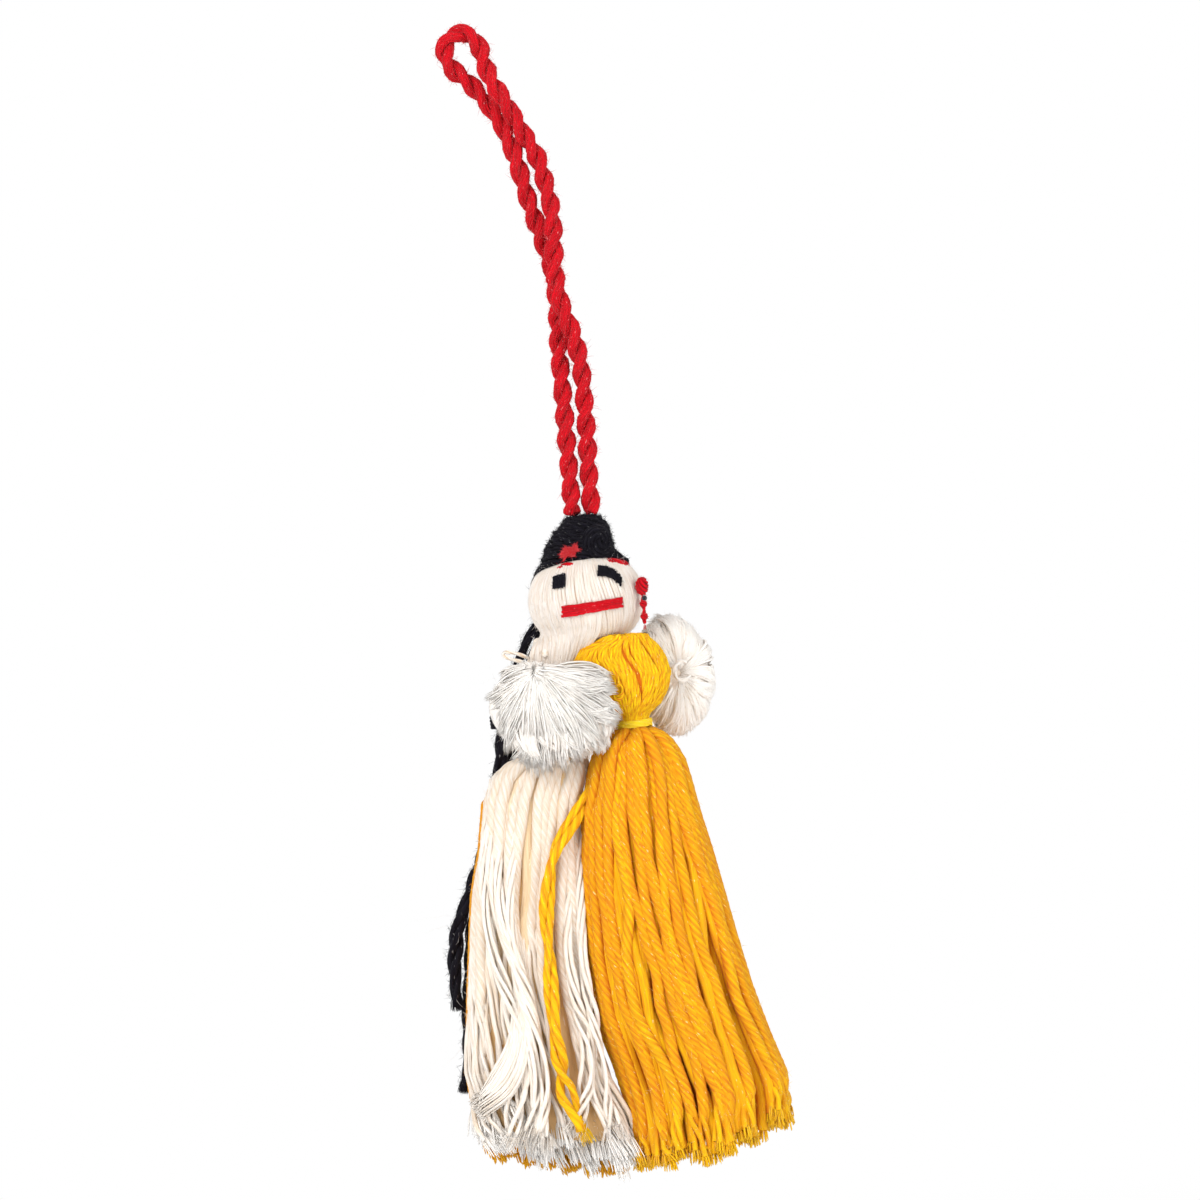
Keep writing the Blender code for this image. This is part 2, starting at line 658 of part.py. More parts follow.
def make_hair():
    """The wound cap over the head, the red band at its edge, the hair at the back, the bun and the bow."""
    centre = head_spot(0, 0, 0)
    under = head_arc(GAP, HAIRLINE_RISE, HEAD_HALF_HEIGHT + GAP, CAP_POINTS)
    finish(turned("hair_cap", centre, [*cap_outline(), *under], closed=False), BLACK, HEAD_PIVOT)

    top = HAIRLINE_RISE - GAP
    outer = head_arc(GAP + BAND_THICKNESS, top, top - BAND_HEIGHT, BAND_POINTS)
    inner = head_arc(GAP, top - BAND_HEIGHT, top, BAND_POINTS)
    finish(turned("hair_band", centre, [*outer, *inner]), RED, HEAD_PIVOT)

    top -= BAND_HEIGHT + GAP
    outer = head_arc(GAP + HAIR_THICKNESS, top, -HAIR_BACK_FALL, CAP_POINTS)
    inner = head_arc(GAP, -HAIR_BACK_FALL, top, CAP_POINTS)
    back = turned("hair_back", centre, [*outer, *inner])
    reach = HEAD_RADIUS + OVERRUN
    bm = bmesh.new()
    bmesh.ops.create_cube(bm, size=2, matrix=Matrix.Diagonal((reach, reach / 2, reach, 1)))
    cut(back, object_from("face_room", bm, head_spot(0, HAIR_BACK_FRONT - reach / 2, 0)))
    finish(back, BLACK, HEAD_PIVOT)

    for name, place, radii, material in (
        ("hair_bun", on_cap(BUN_TURN, BUN_RISE), BUN_RADII, BLACK),
        ("hair_bow", on_cap(BOW_TURN, BOW_RISE), BOW_RADII, RED),
    ):
        made = ball(name, place, radii)
        cut(made, cap_room(name + "_cap_room"))
        cut(made, crown_room(name + "_crown_room"))
        finish(made, material, HEAD_PIVOT)


# Face


def make_stitch(name, centre, size, tilt, width_shares, material):
    """A flat stitch that follows the head's surface: a grid laid on the ball, then thickened outwards."""
    columns = len(width_shares) - 1
    bm = bmesh.new()
    bmesh.ops.create_grid(bm, x_segments=columns, y_segments=2, size=1 / 2)
    for vert in bm.verts:
        x, z = vert.co.x * size[0], vert.co.y * size[1] * width_shares[round((vert.co.x + 1 / 2) * columns)]
        x, z = x * math.cos(tilt) - z * math.sin(tilt), x * math.sin(tilt) + z * math.cos(tilt)
        x, z = x + centre[0], z + centre[1]
        vert.co = (x, -math.sqrt(head_radius_at(z, GAP) ** 2 - x**2), z)
    bmesh.ops.recalc_face_normals(bm, faces=bm.faces)
    stitch = object_from(name, bm, head_spot(0, 0, 0))
    solid = stitch.modifiers.new("thickness", "SOLIDIFY")
    solid.thickness = STITCH_THICKNESS
    solid.offset = 1 if stitch.data.polygons[0].normal.y < 0 else -1
    finish(stitch, material, HEAD_PIVOT)


def make_face():
    """Two black stitches for the eyes and a red one for the mouth."""
    centre, size = (LEFT_EYE_SIDE, LEFT_EYE_RISE), (LEFT_EYE_WIDTH, LEFT_EYE_HEIGHT)
    make_stitch("left_eye", centre, size, FACE_TILT, LEFT_EYE_SHARES, BLACK)
    centre, size = (RIGHT_EYE_SIDE, RIGHT_EYE_RISE), (RIGHT_EYE_WIDTH, RIGHT_EYE_HEIGHT)
    make_stitch("right_eye", centre, size, -FACE_TILT, RIGHT_EYE_SHARES, BLACK)
    centre, size = (MOUTH_SIDE, -MOUTH_FALL), (MOUTH_WIDTH, MOUTH_HEIGHT)
    make_stitch("mouth", centre, size, FACE_TILT, MOUTH_SHARES, RED)


def make_ear_ornament():
    """The red knot at the ear and the beaded thread that hangs from it."""
    reach = head_radius_at(EAR_RISE) + GAP + EAR_KNOT_RADII[0]
    x, y = reach * math.cos(EAR_ANGLE), -reach * math.sin(EAR_ANGLE)
    finish(ball("ear_knot", head_spot(x, y, EAR_RISE), EAR_KNOT_RADII), RED, HEAD_PIVOT)
    top = EAR_RISE - EAR_KNOT_RADII[2] - GAP
    pivot = make_pivot("ear_pivot", head_spot(x, y, top), HEAD_PIVOT)
    route = [(x, y, top), (x, y, top - EAR_THREAD_LENGTH)]
    finish(tube("ear_thread", route, EAR_THREAD_DIAMETER, head_spot), RED, pivot)
    bore, half = EAR_THREAD_DIAMETER / 2 + GAP / 2, EAR_BEAD_HEIGHT / 2
    shoulder = (bore + EAR_BEAD_RADIUS) / 2
    profile = [(bore, half), (shoulder, half), (EAR_BEAD_RADIUS, 0), (shoulder, -half), (bore, -half)]
    for name, share in zip(("ear_bead_upper", "ear_bead_lower"), EAR_BEAD_SHARES):
        place = head_spot(x, y, top - EAR_THREAD_LENGTH * share)
        finish(turned(name, place, profile), RED, pivot)


# Body


def neck_room(name):
    """The room of the neck's tie, for cutting the bundles beside it."""
    radius = NECK_TIE_RADIUS + GAP
    reach = NECK_TIE_HEIGHT / 2 + GAP
    profile = [(0, reach + OVERRUN), (radius, reach + OVERRUN), (radius, -reach), (0, -reach)]
    return turned(name, body_spot(HEAD_SIDE, 0, -NECK_TIE_FALL), profile, closed=False)


def white_bundle(name, margin=0.0):
    """The white yarn from the head to its tie, gathered at both ends."""
    angles = np.linspace(0, 2 * math.pi, BUNDLE_POINTS, endpoint=False)
    rings = []
    for fall, wide, deep, aside in WHITE_BUNDLE_SHARES:
        half_width = WHITE_NECK_RADIUS + (WHITE_HALF_WIDTH - WHITE_NECK_RADIUS) * wide + margin
        half_depth = WHITE_NECK_RADIUS + (WHITE_HALF_DEPTH - WHITE_NECK_RADIUS) * deep + margin
        x, y = oval(angles, half_width, half_depth)
        z = np.full_like(x, WHITE_TOP - WHITE_LENGTH * fall)
        rings.append(np.stack([x + WHITE_SIDE * aside, y + WHITE_BACK, z], axis=1))
    return loft(name, np.array(rings))


def yellow_bundle(name, margin=0.0):
    """The yellow yarn from its fold at the chin to the neck of its tassel."""
    angles = np.linspace(0, 2 * math.pi, BUNDLE_POINTS, endpoint=False)
    rings = []
    for fall, wide, deep, aside, bulge in YELLOW_BUNDLE_SHARES:
        half_width = YELLOW_NECK_RADIUS + (YELLOW_HALF_WIDTH - YELLOW_NECK_RADIUS) * wide + margin
        half_depth = YELLOW_NECK_RADIUS + (YELLOW_HALF_DEPTH - YELLOW_NECK_RADIUS) * deep + margin
        x, y = oval(angles, half_width, half_depth)
        z = np.full_like(x, YELLOW_TOP - YELLOW_LENGTH * fall)
        rings.append(np.stack([x + YELLOW_SIDE * aside, y + YELLOW_FRONT + YELLOW_BULGE * bulge, z], axis=1))
    return loft(name, np.array(rings))


def body_core(name, margin=0.0):
    """The core of the body, which swells from the neck and leans back behind the bundles."""
    swell = [NECK_RADIUS + (CORE_WIDEST - NECK_RADIUS) * share for share in CORE_WAIST_SHARES]
    shares = [(radius + margin) / CORE_WIDEST for radius in (NECK_RADIUS, NECK_RADIUS, *swell)]
    return tube(name, CORE_ROUTE, 2 * CORE_WIDEST, body_spot, shares)


def make_body():
    """The neck and core, the two bundles of yarn, and the thread that ties each."""
    finish(body_core("torso_core"), WHITE, NECK_PIVOT)
    place = body_spot(HEAD_SIDE, 0, -NECK_TIE_FALL)
    ring = tie_ring("neck_tie", place, NECK_RADIUS + GAP, NECK_TIE_THICKNESS, NECK_TIE_HEIGHT)
    finish(ring, WHITE, NECK_PIVOT)
    for name, bundle, material in (
        ("white_bodice", white_bundle, WHITE),
        ("yellow_bodice", yellow_bundle, YELLOW),
    ):
        made = bundle(name)
        cut(made, head_room(name + "_head_room", SWAY_GAP))
        cut(made, neck_room(name + "_neck_room"))
        finish(made, material, NECK_PIVOT)
    place = spot(WHITE_SIDE, WHITE_BACK, WHITE_FOOT + TIE_HEIGHT)
    ring = tie_ring("white_waist_tie", place, WHITE_NECK_RADIUS + GAP, TIE_THICKNESS, TIE_HEIGHT)
    finish(ring, WHITE, NECK_PIVOT)
    place = spot(YELLOW_SIDE, YELLOW_FRONT, YELLOW_FOOT + TIE_HEIGHT / 2)
    ring = tie_ring("yellow_waist_tie", place, YELLOW_NECK_RADIUS + GAP, TIE_THICKNESS, TIE_HEIGHT)
    finish(ring, YELLOW, NECK_PIVOT)


# Skirts


def hem_at(x):
    """Height of the hem, which rises towards both sides."""
    return HEM + HEM_RISE * (x / HEM_HALF_SPAN) ** 2


def skirt_rings(top, left, right, front, back, folds, lower=0.0):
    """Rings of a tassel skirt between its left and right edges and its front and back.

    Each of the four is a pair: falls as shares of the skirt's length, and places. The outline dips
    between the folds, and the ends of the yarn hang unevenly along the hem.
    """
    angles = np.linspace(0, 2 * math.pi, folds * POINTS_PER_FOLD, endpoint=False)
    ridge = (1 + np.cos(folds * angles)) / 2
    rings = []
    for fall in np.linspace(0, 1, SKIRT_RINGS) ** RING_SPACING_POWER:
        low, high, near, far = (np.interp(fall, *edge) for edge in (left, right, front, back))
        x, y = oval(angles, (high - low) / 2, (far - near) / 2, SKIRT_SQUARENESS)
        dip = FOLD_DEPTH * (1 - ridge) * min(1, FOLD_TOP_SHARE + fall)
        shrink = 1 - dip / np.maximum(np.hypot(x, y), FOLD_DEPTH)
        x, y = x * shrink + (high + low) / 2, y * shrink + (near + far) / 2
        foot = hem_at(x) - lower + HEM_JAG * np.cos(3 * folds * angles / 2 + 1)
        rings.append(np.stack([x, y, top + (foot - top) * fall], axis=1))
    return np.array(rings)


def edge(table, size):
    """A table of (share of the fall, share of a size) as heights and places."""
    falls, shares = np.array(table, float).T
    return falls, shares * size


def moved(line, distance):
    return line[0], line[1] + distance


def make_skirts():
    """White and yellow tassel skirts side by side, yellow yarn behind the white, a loose yarn in front."""
    left, divide = edge(WHITE_LEFT_SHARES, SKIRT_LEFT), edge(DIVIDE_SHARES, SKIRT_DIVIDE)
    right = moved(divide, -GAP)
    front, back = (FALL_SHARES, WHITE_SKIRT_FRONT), (FALL_SHARES, WHITE_SKIRT_BACK)
    rings = skirt_rings(SKIRT_TOP, left, right, front, back, WHITE_FOLDS)
    finish(loft("white_skirt", rings), WHITE, WHITE_PIVOT)

    near = FALL_SHARES, np.array(WHITE_SKIRT_BACK) + GAP
    far = FALL_SHARES, UNDERSKIRT_BACK
    under_left = moved(left, -UNDERSKIRT_PEEK)
    top = SKIRT_TOP - UNDERSKIRT_STEP
    rings = skirt_rings(top, under_left, right, near, far, UNDERSKIRT_FOLDS, UNDERSKIRT_STEP)
    finish(loft("yellow_underskirt", rings), YELLOW, NECK_PIVOT)

    low, high = np.array(YELLOW_LEFT_SHARES) * SKIRT_DIVIDE, np.array(YELLOW_RIGHT_SHARES) * SKIRT_RIGHT
    half_top = YELLOW_NECK_RADIUS * YELLOW_TOP_SHARE
    low[0], high[0] = YELLOW_SIDE - half_top, YELLOW_SIDE + half_top
    reach = np.array(YELLOW_DEPTH_SHARES) * SKIRT_DEPTH / 2
    edges = [(YELLOW_FALL_SHARES, line) for line in (low, high, YELLOW_FRONT - reach, YELLOW_FRONT + reach)]
    finish(loft("yellow_skirt", skirt_rings(YELLOW_SKIRT_TOP, *edges, YELLOW_FOLDS)), YELLOW, YELLOW_PIVOT)

    route = []
    for x, fall in LOOSE_ROUTE:
        share_down = fall / (hem_at(x) - SKIRT_TOP)
        low, high, near, far = (np.interp(share_down, *line) for line in (left, right, front, back))
        aside = min(1, abs(2 * x - low - high) / (high - low))
        bulge = max(LOOSE_BULGE_SHARE, (1 - aside**SKIRT_SQUARENESS) ** (1 / SKIRT_SQUARENESS))
        surface = (near + far) / 2 - (far - near) / 2 * bulge
        route.append((x, surface - GAP - LOOSE_DIAMETER / 2, SKIRT_TOP + fall))
    route = smooth_route(route, 2 * LOOSE_DIAMETER)
    finish(tube("loose_yellow_yarn", route, LOOSE_DIAMETER, spot), YELLOW, WHITE_PIVOT)


# Arms and tails of hair


def make_arms():
    """Two tufts of white yarn, each with the thread that ties it to the body."""
    place = body_spot(*LEFT_ARM_PLACE)
    arm = tuft("left_pompom", place, LEFT_ARM_RADII)
    cut(arm, head_room("left_pompom_head_room", SWAY_GAP))
    cut(arm, yellow_bundle("left_pompom_yellow_room", 2 * GAP))
    cut(arm, white_bundle("left_pompom_white_room", 2 * GAP))
    finish(arm, WHITE, LEFT_PIVOT)
    x, y, z = LEFT_ARM_HINGE
    tie = rod("left_arm_tie", body_spot(x, WHITE_BACK, z), body_spot(x, y, z), ARM_TIE_DIAMETER)
    cut(tie, white_bundle("left_arm_tie_bundle_room", GAP))
    cut(tie, head_room("left_arm_tie_head_room", SWAY_GAP))
    cut(tie, tuft("left_arm_tie_arm_room", place, LEFT_ARM_RADII, GAP))
    finish(tie, WHITE, NECK_PIVOT)

    place = body_spot(*RIGHT_ARM_PLACE)
    finish(tuft("right_pompom", place, RIGHT_ARM_RADII), WHITE, RIGHT_PIVOT)
    x, y, z = RIGHT_ARM_HINGE
    start = body_spot(CORE_ROUTE[3][0], CORE_ROUTE[3][1], z)
    tie = rod("right_arm_tie", start, body_spot(x, y, z), ARM_TIE_DIAMETER)
    cut(tie, as_mesh(body_core("right_arm_tie_core_room", GAP)))
    cut(tie, tuft("right_arm_tie_arm_room", place, RIGHT_ARM_RADII, GAP))
    finish(tie, WHITE, NECK_PIVOT)

    face = RIGHT_ARM_RADII[1] * math.sqrt(1 - (ARM_LOOP_SIDE / RIGHT_ARM_RADII[0]) ** 2)
    seat = Vector((ARM_LOOP_SIDE, -face - GAP - ARM_LOOP_YARN / 2, ARM_LOOP_RISE))
    bpy.ops.mesh.primitive_torus_add(
        location=place + seat,
        rotation=(math.pi / 2, 0, 0),
        major_radius=ARM_LOOP_RADIUS,
        minor_radius=ARM_LOOP_YARN / 2,
        major_segments=TURN_STEPS // 2,
        minor_segments=BALL_RINGS // 2,
    )
    loop = bpy.context.object
    loop.name = "right_arm_loop"
    finish(loop, WHITE, RIGHT_PIVOT)


def make_tails():
    """The two tails of black hair that hang behind the left side, and the thread round them."""
    for name, route in (("short_tail", SHORT_TAIL_ROUTE), ("long_tail", LONG_TAIL_ROUTE)):
        route = smooth_route(route, 2 * TAIL_DIAMETER)
        finish(tube(name, route, TAIL_DIAMETER, head_spot), BLACK, TAIL_PIVOT)
    short, long = (Vector(route[TAIL_TIED_POINT]) for route in (SHORT_TAIL_ROUTE, LONG_TAIL_ROUTE))
    inner = ((long - short).length + TAIL_DIAMETER) / 2 + 2 * GAP
    tie = tie_ring("tail_tie", head_spot(*((short + long) / 2)), inner, TAIL_TIE_YARN, TAIL_DIAMETER)
    finish(tie, BLACK, TAIL_PIVOT)


clear_scene()
DOLL = make_collection("yarn_doll")
CUTTERS = make_collection("cutters")

RED = make_material("red_yarn", (0.78, 0.008, 0.016), 0.85)
BLACK = make_material("black_yarn", (0.012, 0.010, 0.014), 0.9)
WHITE = make_material("white_yarn", (0.86, 0.80, 0.71), 0.88)
YELLOW = make_material("yellow_yarn", (0.95, 0.47, 0.02), 0.85)

EYE_PIVOT = make_pivot("eye_pivot", Vector((0, 0, 0)))
SWIVEL_PIVOT = make_pivot("swing_pivot", spot(0, 0, -CROWN_RADIUS), EYE_PIVOT)
HEAD_PIVOT = make_pivot("twist_pivot", spot(0, 0, -CROWN_RADIUS), SWIVEL_PIVOT)
TAIL_PIVOT = make_pivot("tail_pivot", head_spot(*TAIL_HINGE), HEAD_PIVOT)
NECK_PIVOT = make_pivot("neck_pivot", body_spot(HEAD_SIDE, 0, 0), HEAD_PIVOT)
LEFT_PIVOT = make_pivot("left_arm_pivot", body_spot(*LEFT_ARM_HINGE), NECK_PIVOT)
RIGHT_PIVOT = make_pivot("right_arm_pivot", body_spot(*RIGHT_ARM_HINGE), NECK_PIVOT)
WHITE_PIVOT = make_pivot("white_skirt_pivot", spot(WHITE_SIDE, WHITE_HINGE_FRONT, SKIRT_TOP), NECK_PIVOT)
YELLOW_TIE = spot(YELLOW_SIDE, YELLOW_FRONT, YELLOW_SKIRT_TOP)
YELLOW_PIVOT = make_pivot("yellow_skirt_pivot", YELLOW_TIE, NECK_PIVOT)

make_hanger()
make_crown()
make_head()
make_hair()
make_face()
make_ear_ornament()
make_body()
make_skirts()
make_arms()
make_tails()
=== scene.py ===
"""Looks of the yarn doll: every cord, thread and tuft of yarn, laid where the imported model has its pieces."""

import logging
import math
from collections.abc import Sequence
from dataclasses import dataclass, replace
from enum import Enum
from typing import Protocol

import bpy
import numpy as np
from mathutils import Matrix, Vector


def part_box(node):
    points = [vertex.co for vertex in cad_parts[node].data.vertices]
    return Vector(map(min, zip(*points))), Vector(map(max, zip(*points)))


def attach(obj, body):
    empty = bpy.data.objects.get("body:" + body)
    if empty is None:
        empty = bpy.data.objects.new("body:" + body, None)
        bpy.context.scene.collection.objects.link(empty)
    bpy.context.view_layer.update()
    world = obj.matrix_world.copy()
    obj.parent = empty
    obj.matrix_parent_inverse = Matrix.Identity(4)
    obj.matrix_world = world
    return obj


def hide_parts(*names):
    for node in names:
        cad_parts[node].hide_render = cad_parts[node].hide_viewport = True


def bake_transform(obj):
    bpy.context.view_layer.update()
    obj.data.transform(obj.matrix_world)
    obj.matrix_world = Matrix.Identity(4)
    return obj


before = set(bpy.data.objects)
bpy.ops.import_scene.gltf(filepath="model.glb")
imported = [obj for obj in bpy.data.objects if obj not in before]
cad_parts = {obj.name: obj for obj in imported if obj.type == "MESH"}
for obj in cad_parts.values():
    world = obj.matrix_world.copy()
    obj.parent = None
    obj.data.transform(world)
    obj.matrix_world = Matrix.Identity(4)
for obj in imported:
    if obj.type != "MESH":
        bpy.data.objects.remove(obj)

Array = np.ndarray
Colour = tuple[float, float, float]
Point = tuple[float, float, float]
Row = tuple[float, float]

TAU = 2 * math.pi
MM = 0.001
CROWN = np.array((0.0133, 0.0, -0.0715))
HEAD = CROWN + np.array((-0.0004, 0.0, -0.0127))
HEAD_RADII = np.array((0.00875, 0.00875, 0.0076))
FRONT = np.array((0.0, -1.0, 0.0))
LOG = logging.getLogger("yarn_doll")


# Vectors and curves


def unit(vectors: Array) -> Array:
    """Vectors of length one in the given directions."""
    return vectors / np.maximum(np.linalg.norm(vectors, axis=-1, keepdims=True), 1e-12)


def from_crown(points: Sequence[Point] | Array) -> Array:
    """Places in the model from places in millimetres measured from the top of the crown."""
    return CROWN + np.asarray(points, float) * MM


def across(directions: Array) -> Array:
    """A direction at right angles to each given one."""
    least = np.eye(3)[np.argmin(np.abs(directions), axis=-1)]
    return unit(np.cross(directions, least))


def ramp(values: Array, start: float, stop: float) -> Array:
    """Zero before start, one after stop, and a smooth rise in between."""
    share = np.clip((np.asarray(values, float) - start) / (stop - start), 0, 1)
    return share * share * (3 - 2 * share)


def run_of(paths: Array) -> Array:
    """Distance along each path, strands by rings by 3, at each of its points."""
    steps = np.linalg.norm(np.diff(paths, axis=1), axis=2)
    return np.concatenate([np.zeros((len(paths), 1)), np.cumsum(steps, axis=1)], axis=1)


def smooth(points: Array, count: int) -> Array:
    """Evenly spaced points on smooth curves, of which each four neighbours make a cubic through the middle two.

    Args:
        points: Points of many routes, strands by points by 3.
        count: How many points each path gets.

    Returns:
        Paths, strands by count by 3.
    """
    points = np.asarray(points, float)
    before, after = 2 * points[:, :1] - points[:, 1:2], 2 * points[:, -1:] - points[:, -2:-1]
    ends = np.concatenate([before, points, after], axis=1)
    t = np.linspace(0, 1, 12, endpoint=False)[None, None, :, None]
    p0, p1, p2, p3 = (ends[:, k : k + points.shape[1] - 1, None] for k in range(4))
    square, cube = 2 * p0 - 5 * p1 + 4 * p2 - p3, 3 * p1 - p0 - 3 * p2 + p3
    fine = (2 * p1 + (p2 - p0) * t + square * t**2 + cube * t**3) / 2
    fine = np.concatenate([fine.reshape(len(points), -1, 3), points[:, -1:]], axis=1)
    wanted = np.linspace(0, 1, count)
    pairs = zip(run_of(fine), fine)
    spaced = [[np.interp(wanted * far[-1], far, row) for row in line.T] for far, line in pairs]
    return np.array(spaced).transpose(0, 2, 1)


def frames(paths: Array, outward: Array) -> tuple[Array, Array, Array]:
    """Directions along each path, away from what it lies on, and to its side.

    Args:
        paths: Points, strands by rings by 3.
        outward: A direction away from the surface under each point.

    Returns:
        Along, up and side, each strands by rings by 3 and at right angles to the others.
    """
    along = unit(np.gradient(paths, axis=1))
    facing = np.broadcast_to(outward, paths.shape)
    up = unit(facing - np.sum(facing * along, axis=-1, keepdims=True) * along)
    return along, up, np.cross(along, up)


# Surfaces under construction


@dataclass
class Surface:
    """Arrays of a mesh: points, faces, their map, and the values that the finishes read at each point."""

    points: Array
    quads: Array
    tris: Array
    quad_map: Array
    tri_map: Array
    tone: Array
    # Share of painted shade at each point: grooves between plies and sides that face other yarns.
    groove: Array
    cut: Array


def join(parts: Sequence[Surface]) -> Surface:
    """One surface from several."""
    starts = np.cumsum([0, *(len(part.points) for part in parts[:-1])])
    return Surface(
        np.concatenate([part.points for part in parts]),
        np.concatenate([part.quads + start for part, start in zip(parts, starts)]),
        np.concatenate([part.tris + start for part, start in zip(parts, starts)]),
        *(
            np.concatenate([getattr(part, name) for part in parts])
            for name in ("quad_map", "tri_map", "tone", "groove", "cut")
        ),
    )


@dataclass(frozen=True)
class Section:
    """Cross-section of a yarn: its plies, how deep the grooves between them lie, and how much painted shade they
    take.
    """

    plies: int = 0
    corners_per_ply: int = 6
    floor: float = 1.0
    groove_shade: float = 0.85

    @property
    def corners(self) -> int:
        """How many corners the section has."""
        return max(1, self.plies) * self.corners_per_ply

    def lobes(self) -> Array:
        """One on the crest of a ply and zero in a groove: the size of the cosine of half the plies' angle."""
        if not self.plies:
            return np.ones(self.corners)
        return np.abs(np.cos(self.plies * np.arange(self.corners) * math.pi / self.corners))

    def shares(self) -> Array:
        """Radius of each corner as a share of the yarn's radius."""
        return self.floor + (1 - self.floor) * self.lobes() ** 0.75


HAIR = Section(corners_per_ply=3)
FINE = Section(corners_per_ply=4)
THREAD = Section()
ROUND = Section(corners_per_ply=8)
TWO_PLY = Section(plies=2, corners_per_ply=8, floor=0.52)
THREE_PLY = Section(plies=3, corners_per_ply=5, floor=0.74, groove_shade=0.6)
ROPE = Section(plies=6, corners_per_ply=3, floor=0.88)


def sweep(
    paths: Array,
    outward: Array,
    radius: float | Array,
    section: Section = THREAD,
    twist: Array | None = None,
    tone: Array | None = None,
    cut: Array | None = None,
    shade: float = 0.0,
    tips: Array | None = None,
) -> Surface:
    """Carries a section along many paths at once.

    A corner lies at its path's point plus the radius times the corner's share, towards the cosine of its angle
    of the up direction and the sine of its angle of the side direction. The twist turns the angle along the path.

    Args:
        paths: Points, strands by rings by 3.
        outward: Direction away from the surface under each point.
        radius: Radius of the yarn, one number or strands by rings.
        section: Shape of the yarn across.
        twist: Angle by which the section has turned, strands by rings.
        tone: Shade of each strand, from 0 to 1.
        cut: How near each ring is to a cut end, from 0 to 1.
        shade: How much painted shade the sides that face other yarns take, in the deep colour of the grooves.
        tips: Where each strand's two ends close, strands by 2 by 3, if not at the path's ends.

    Returns:
        The yarns' surface, closed at both ends.
    """
    count, rings = paths.shape[:2]
    corners = section.corners
    _, up, side = frames(paths, outward)
    turn = np.zeros((count, rings)) if twist is None else np.broadcast_to(twist, (count, rings))
    angle = turn[..., None] + np.arange(corners) * TAU / corners
    radii = np.broadcast_to(radius, (count, rings))
    reach = radii[..., None] * section.shares()
    high = (reach * np.cos(angle))[..., None] * up[:, :, None]
    wide = (reach * np.sin(angle))[..., None] * side[:, :, None]
    ends = paths[:, [0, -1]] if tips is None else tips
    points = np.concatenate([(paths[:, :, None] + high + wide).reshape(-1, 3), ends[:, 0], ends[:, 1]])

    here = np.arange(count * rings * corners).reshape(count, rings, corners)
    after = np.roll(here, -1, axis=2)
    quads = np.stack([here[:, :-1], after[:, :-1], after[:, 1:], here[:, 1:]], axis=-1).reshape(-1, 4)
    first = np.broadcast_to(here.size + np.arange(count)[:, None], (count, corners))
    heads = np.stack([first, after[:, 0], here[:, 0]], axis=-1).reshape(-1, 3)
    tails = np.stack([first + count, here[:, -1], after[:, -1]], axis=-1).reshape(-1, 3)

    run = run_of(paths) / (10 * MM) + 3.7 * np.arange(count)[:, None]
    step = TAU * float(np.mean(radii)) / (10 * MM) / corners
    u0 = np.broadcast_to(np.arange(corners) * step, (count, rings - 1, corners))
    low, top = (np.broadcast_to(v[..., None], u0.shape) for v in (run[:, :-1], run[:, 1:]))
    quad_map = np.stack([u0, low, u0 + step, low, u0 + step, top, u0, top], axis=-1).reshape(-1, 4, 2)
    tri_map = np.broadcast_to(np.array(((0.0, 0.0), (step, 0.0), (0.0, step))), (2 * count * corners, 3, 2))

    def spread(values: Array | None, fill: float) -> Array:
        """One value for each point from one for each strand or ring."""
        given = np.full((count, 1), fill) if values is None else np.asarray(values, float).reshape(count, -1)
        full = np.broadcast_to(given, (count, rings))
        ring = np.broadcast_to(full[..., None], (count, rings, corners)).reshape(-1)
        return np.concatenate([ring, full[:, 0], full[:, -1]])

    # Painted shade: the grooves between the plies and the sides that face other yarns lean to the deep colour.
    painted_side_shade = shade * (0.5 - 0.5 * np.cos(angle)) ** 1.4
    groove = np.clip(section.groove_shade * (1 - section.lobes()) + painted_side_shade, 0, 1).reshape(-1)
    groove = np.concatenate([groove, np.zeros(2 * count)])
    tris = np.concatenate([heads, tails])
    return Surface(points, quads, tris, quad_map, tri_map, spread(tone, 0.5), groove, spread(cut, 0.0))


def plied(
    paths: Array, outward: Array, spread: float | Array, twist: Array, plies: int = 3
) -> tuple[Array, Array]:
    """Paths of the plies that wind about each yarn: the yarn's point plus the spread towards the ply's angle.

    Args:
        paths: Points of the yarns' middle lines, strands by rings by 3.
        outward: Direction away from the surface under each point.
        spread: Distance from the yarn's middle to a ply's middle.
        twist: Angle turned along each yarn, strands by rings.
        plies: How many plies each yarn has.

    Returns:
        Paths of the plies, plies by strands flattened, and the direction away from each yarn's middle.
    """
    _, up, side = frames(paths, outward)
    angle = (twist[None] + np.arange(plies)[:, None, None] * TAU / plies)[..., None]
    away = np.cos(angle) * up[None] + np.sin(angle) * side[None]
    reach = np.broadcast_to(spread, twist.shape)[None, ..., None]
    lines = paths[None] + away * reach
    return lines.reshape(-1, *paths.shape[1:]), away.reshape(-1, *paths.shape[1:])


def turned(paths: Array, per_metre: float) -> Array:
    """Angle that yarns have twisted at each of their points, at a number of turns in a metre."""
    return TAU * per_metre * run_of(paths)


def twine(path: Array, outward: Array, radius: float, per_metre: float) -> Surface:
    """A yarn of two plies, twisted a number of turns in a metre."""
    return sweep(path, outward, radius, TWO_PLY, turned(path, per_metre))


def strand_turns(count: int, jitter: float, rng: np.random.Generator) -> Array:
    """Turns of strands spaced evenly round a form, each a little off its place."""
    return (np.arange(count) * TAU / count)[:, None] + rng.normal(0, jitter, (count, 1))


def wave(share: Array, low: float, high: float, rng: np.random.Generator, size: tuple[int, ...]) -> Array:
    """A sine along each strand, with between low and high waves from end to end and a random start."""
    return np.sin(TAU * (share * rng.uniform(low, high, size) + rng.random(size)))


# Fine hairs


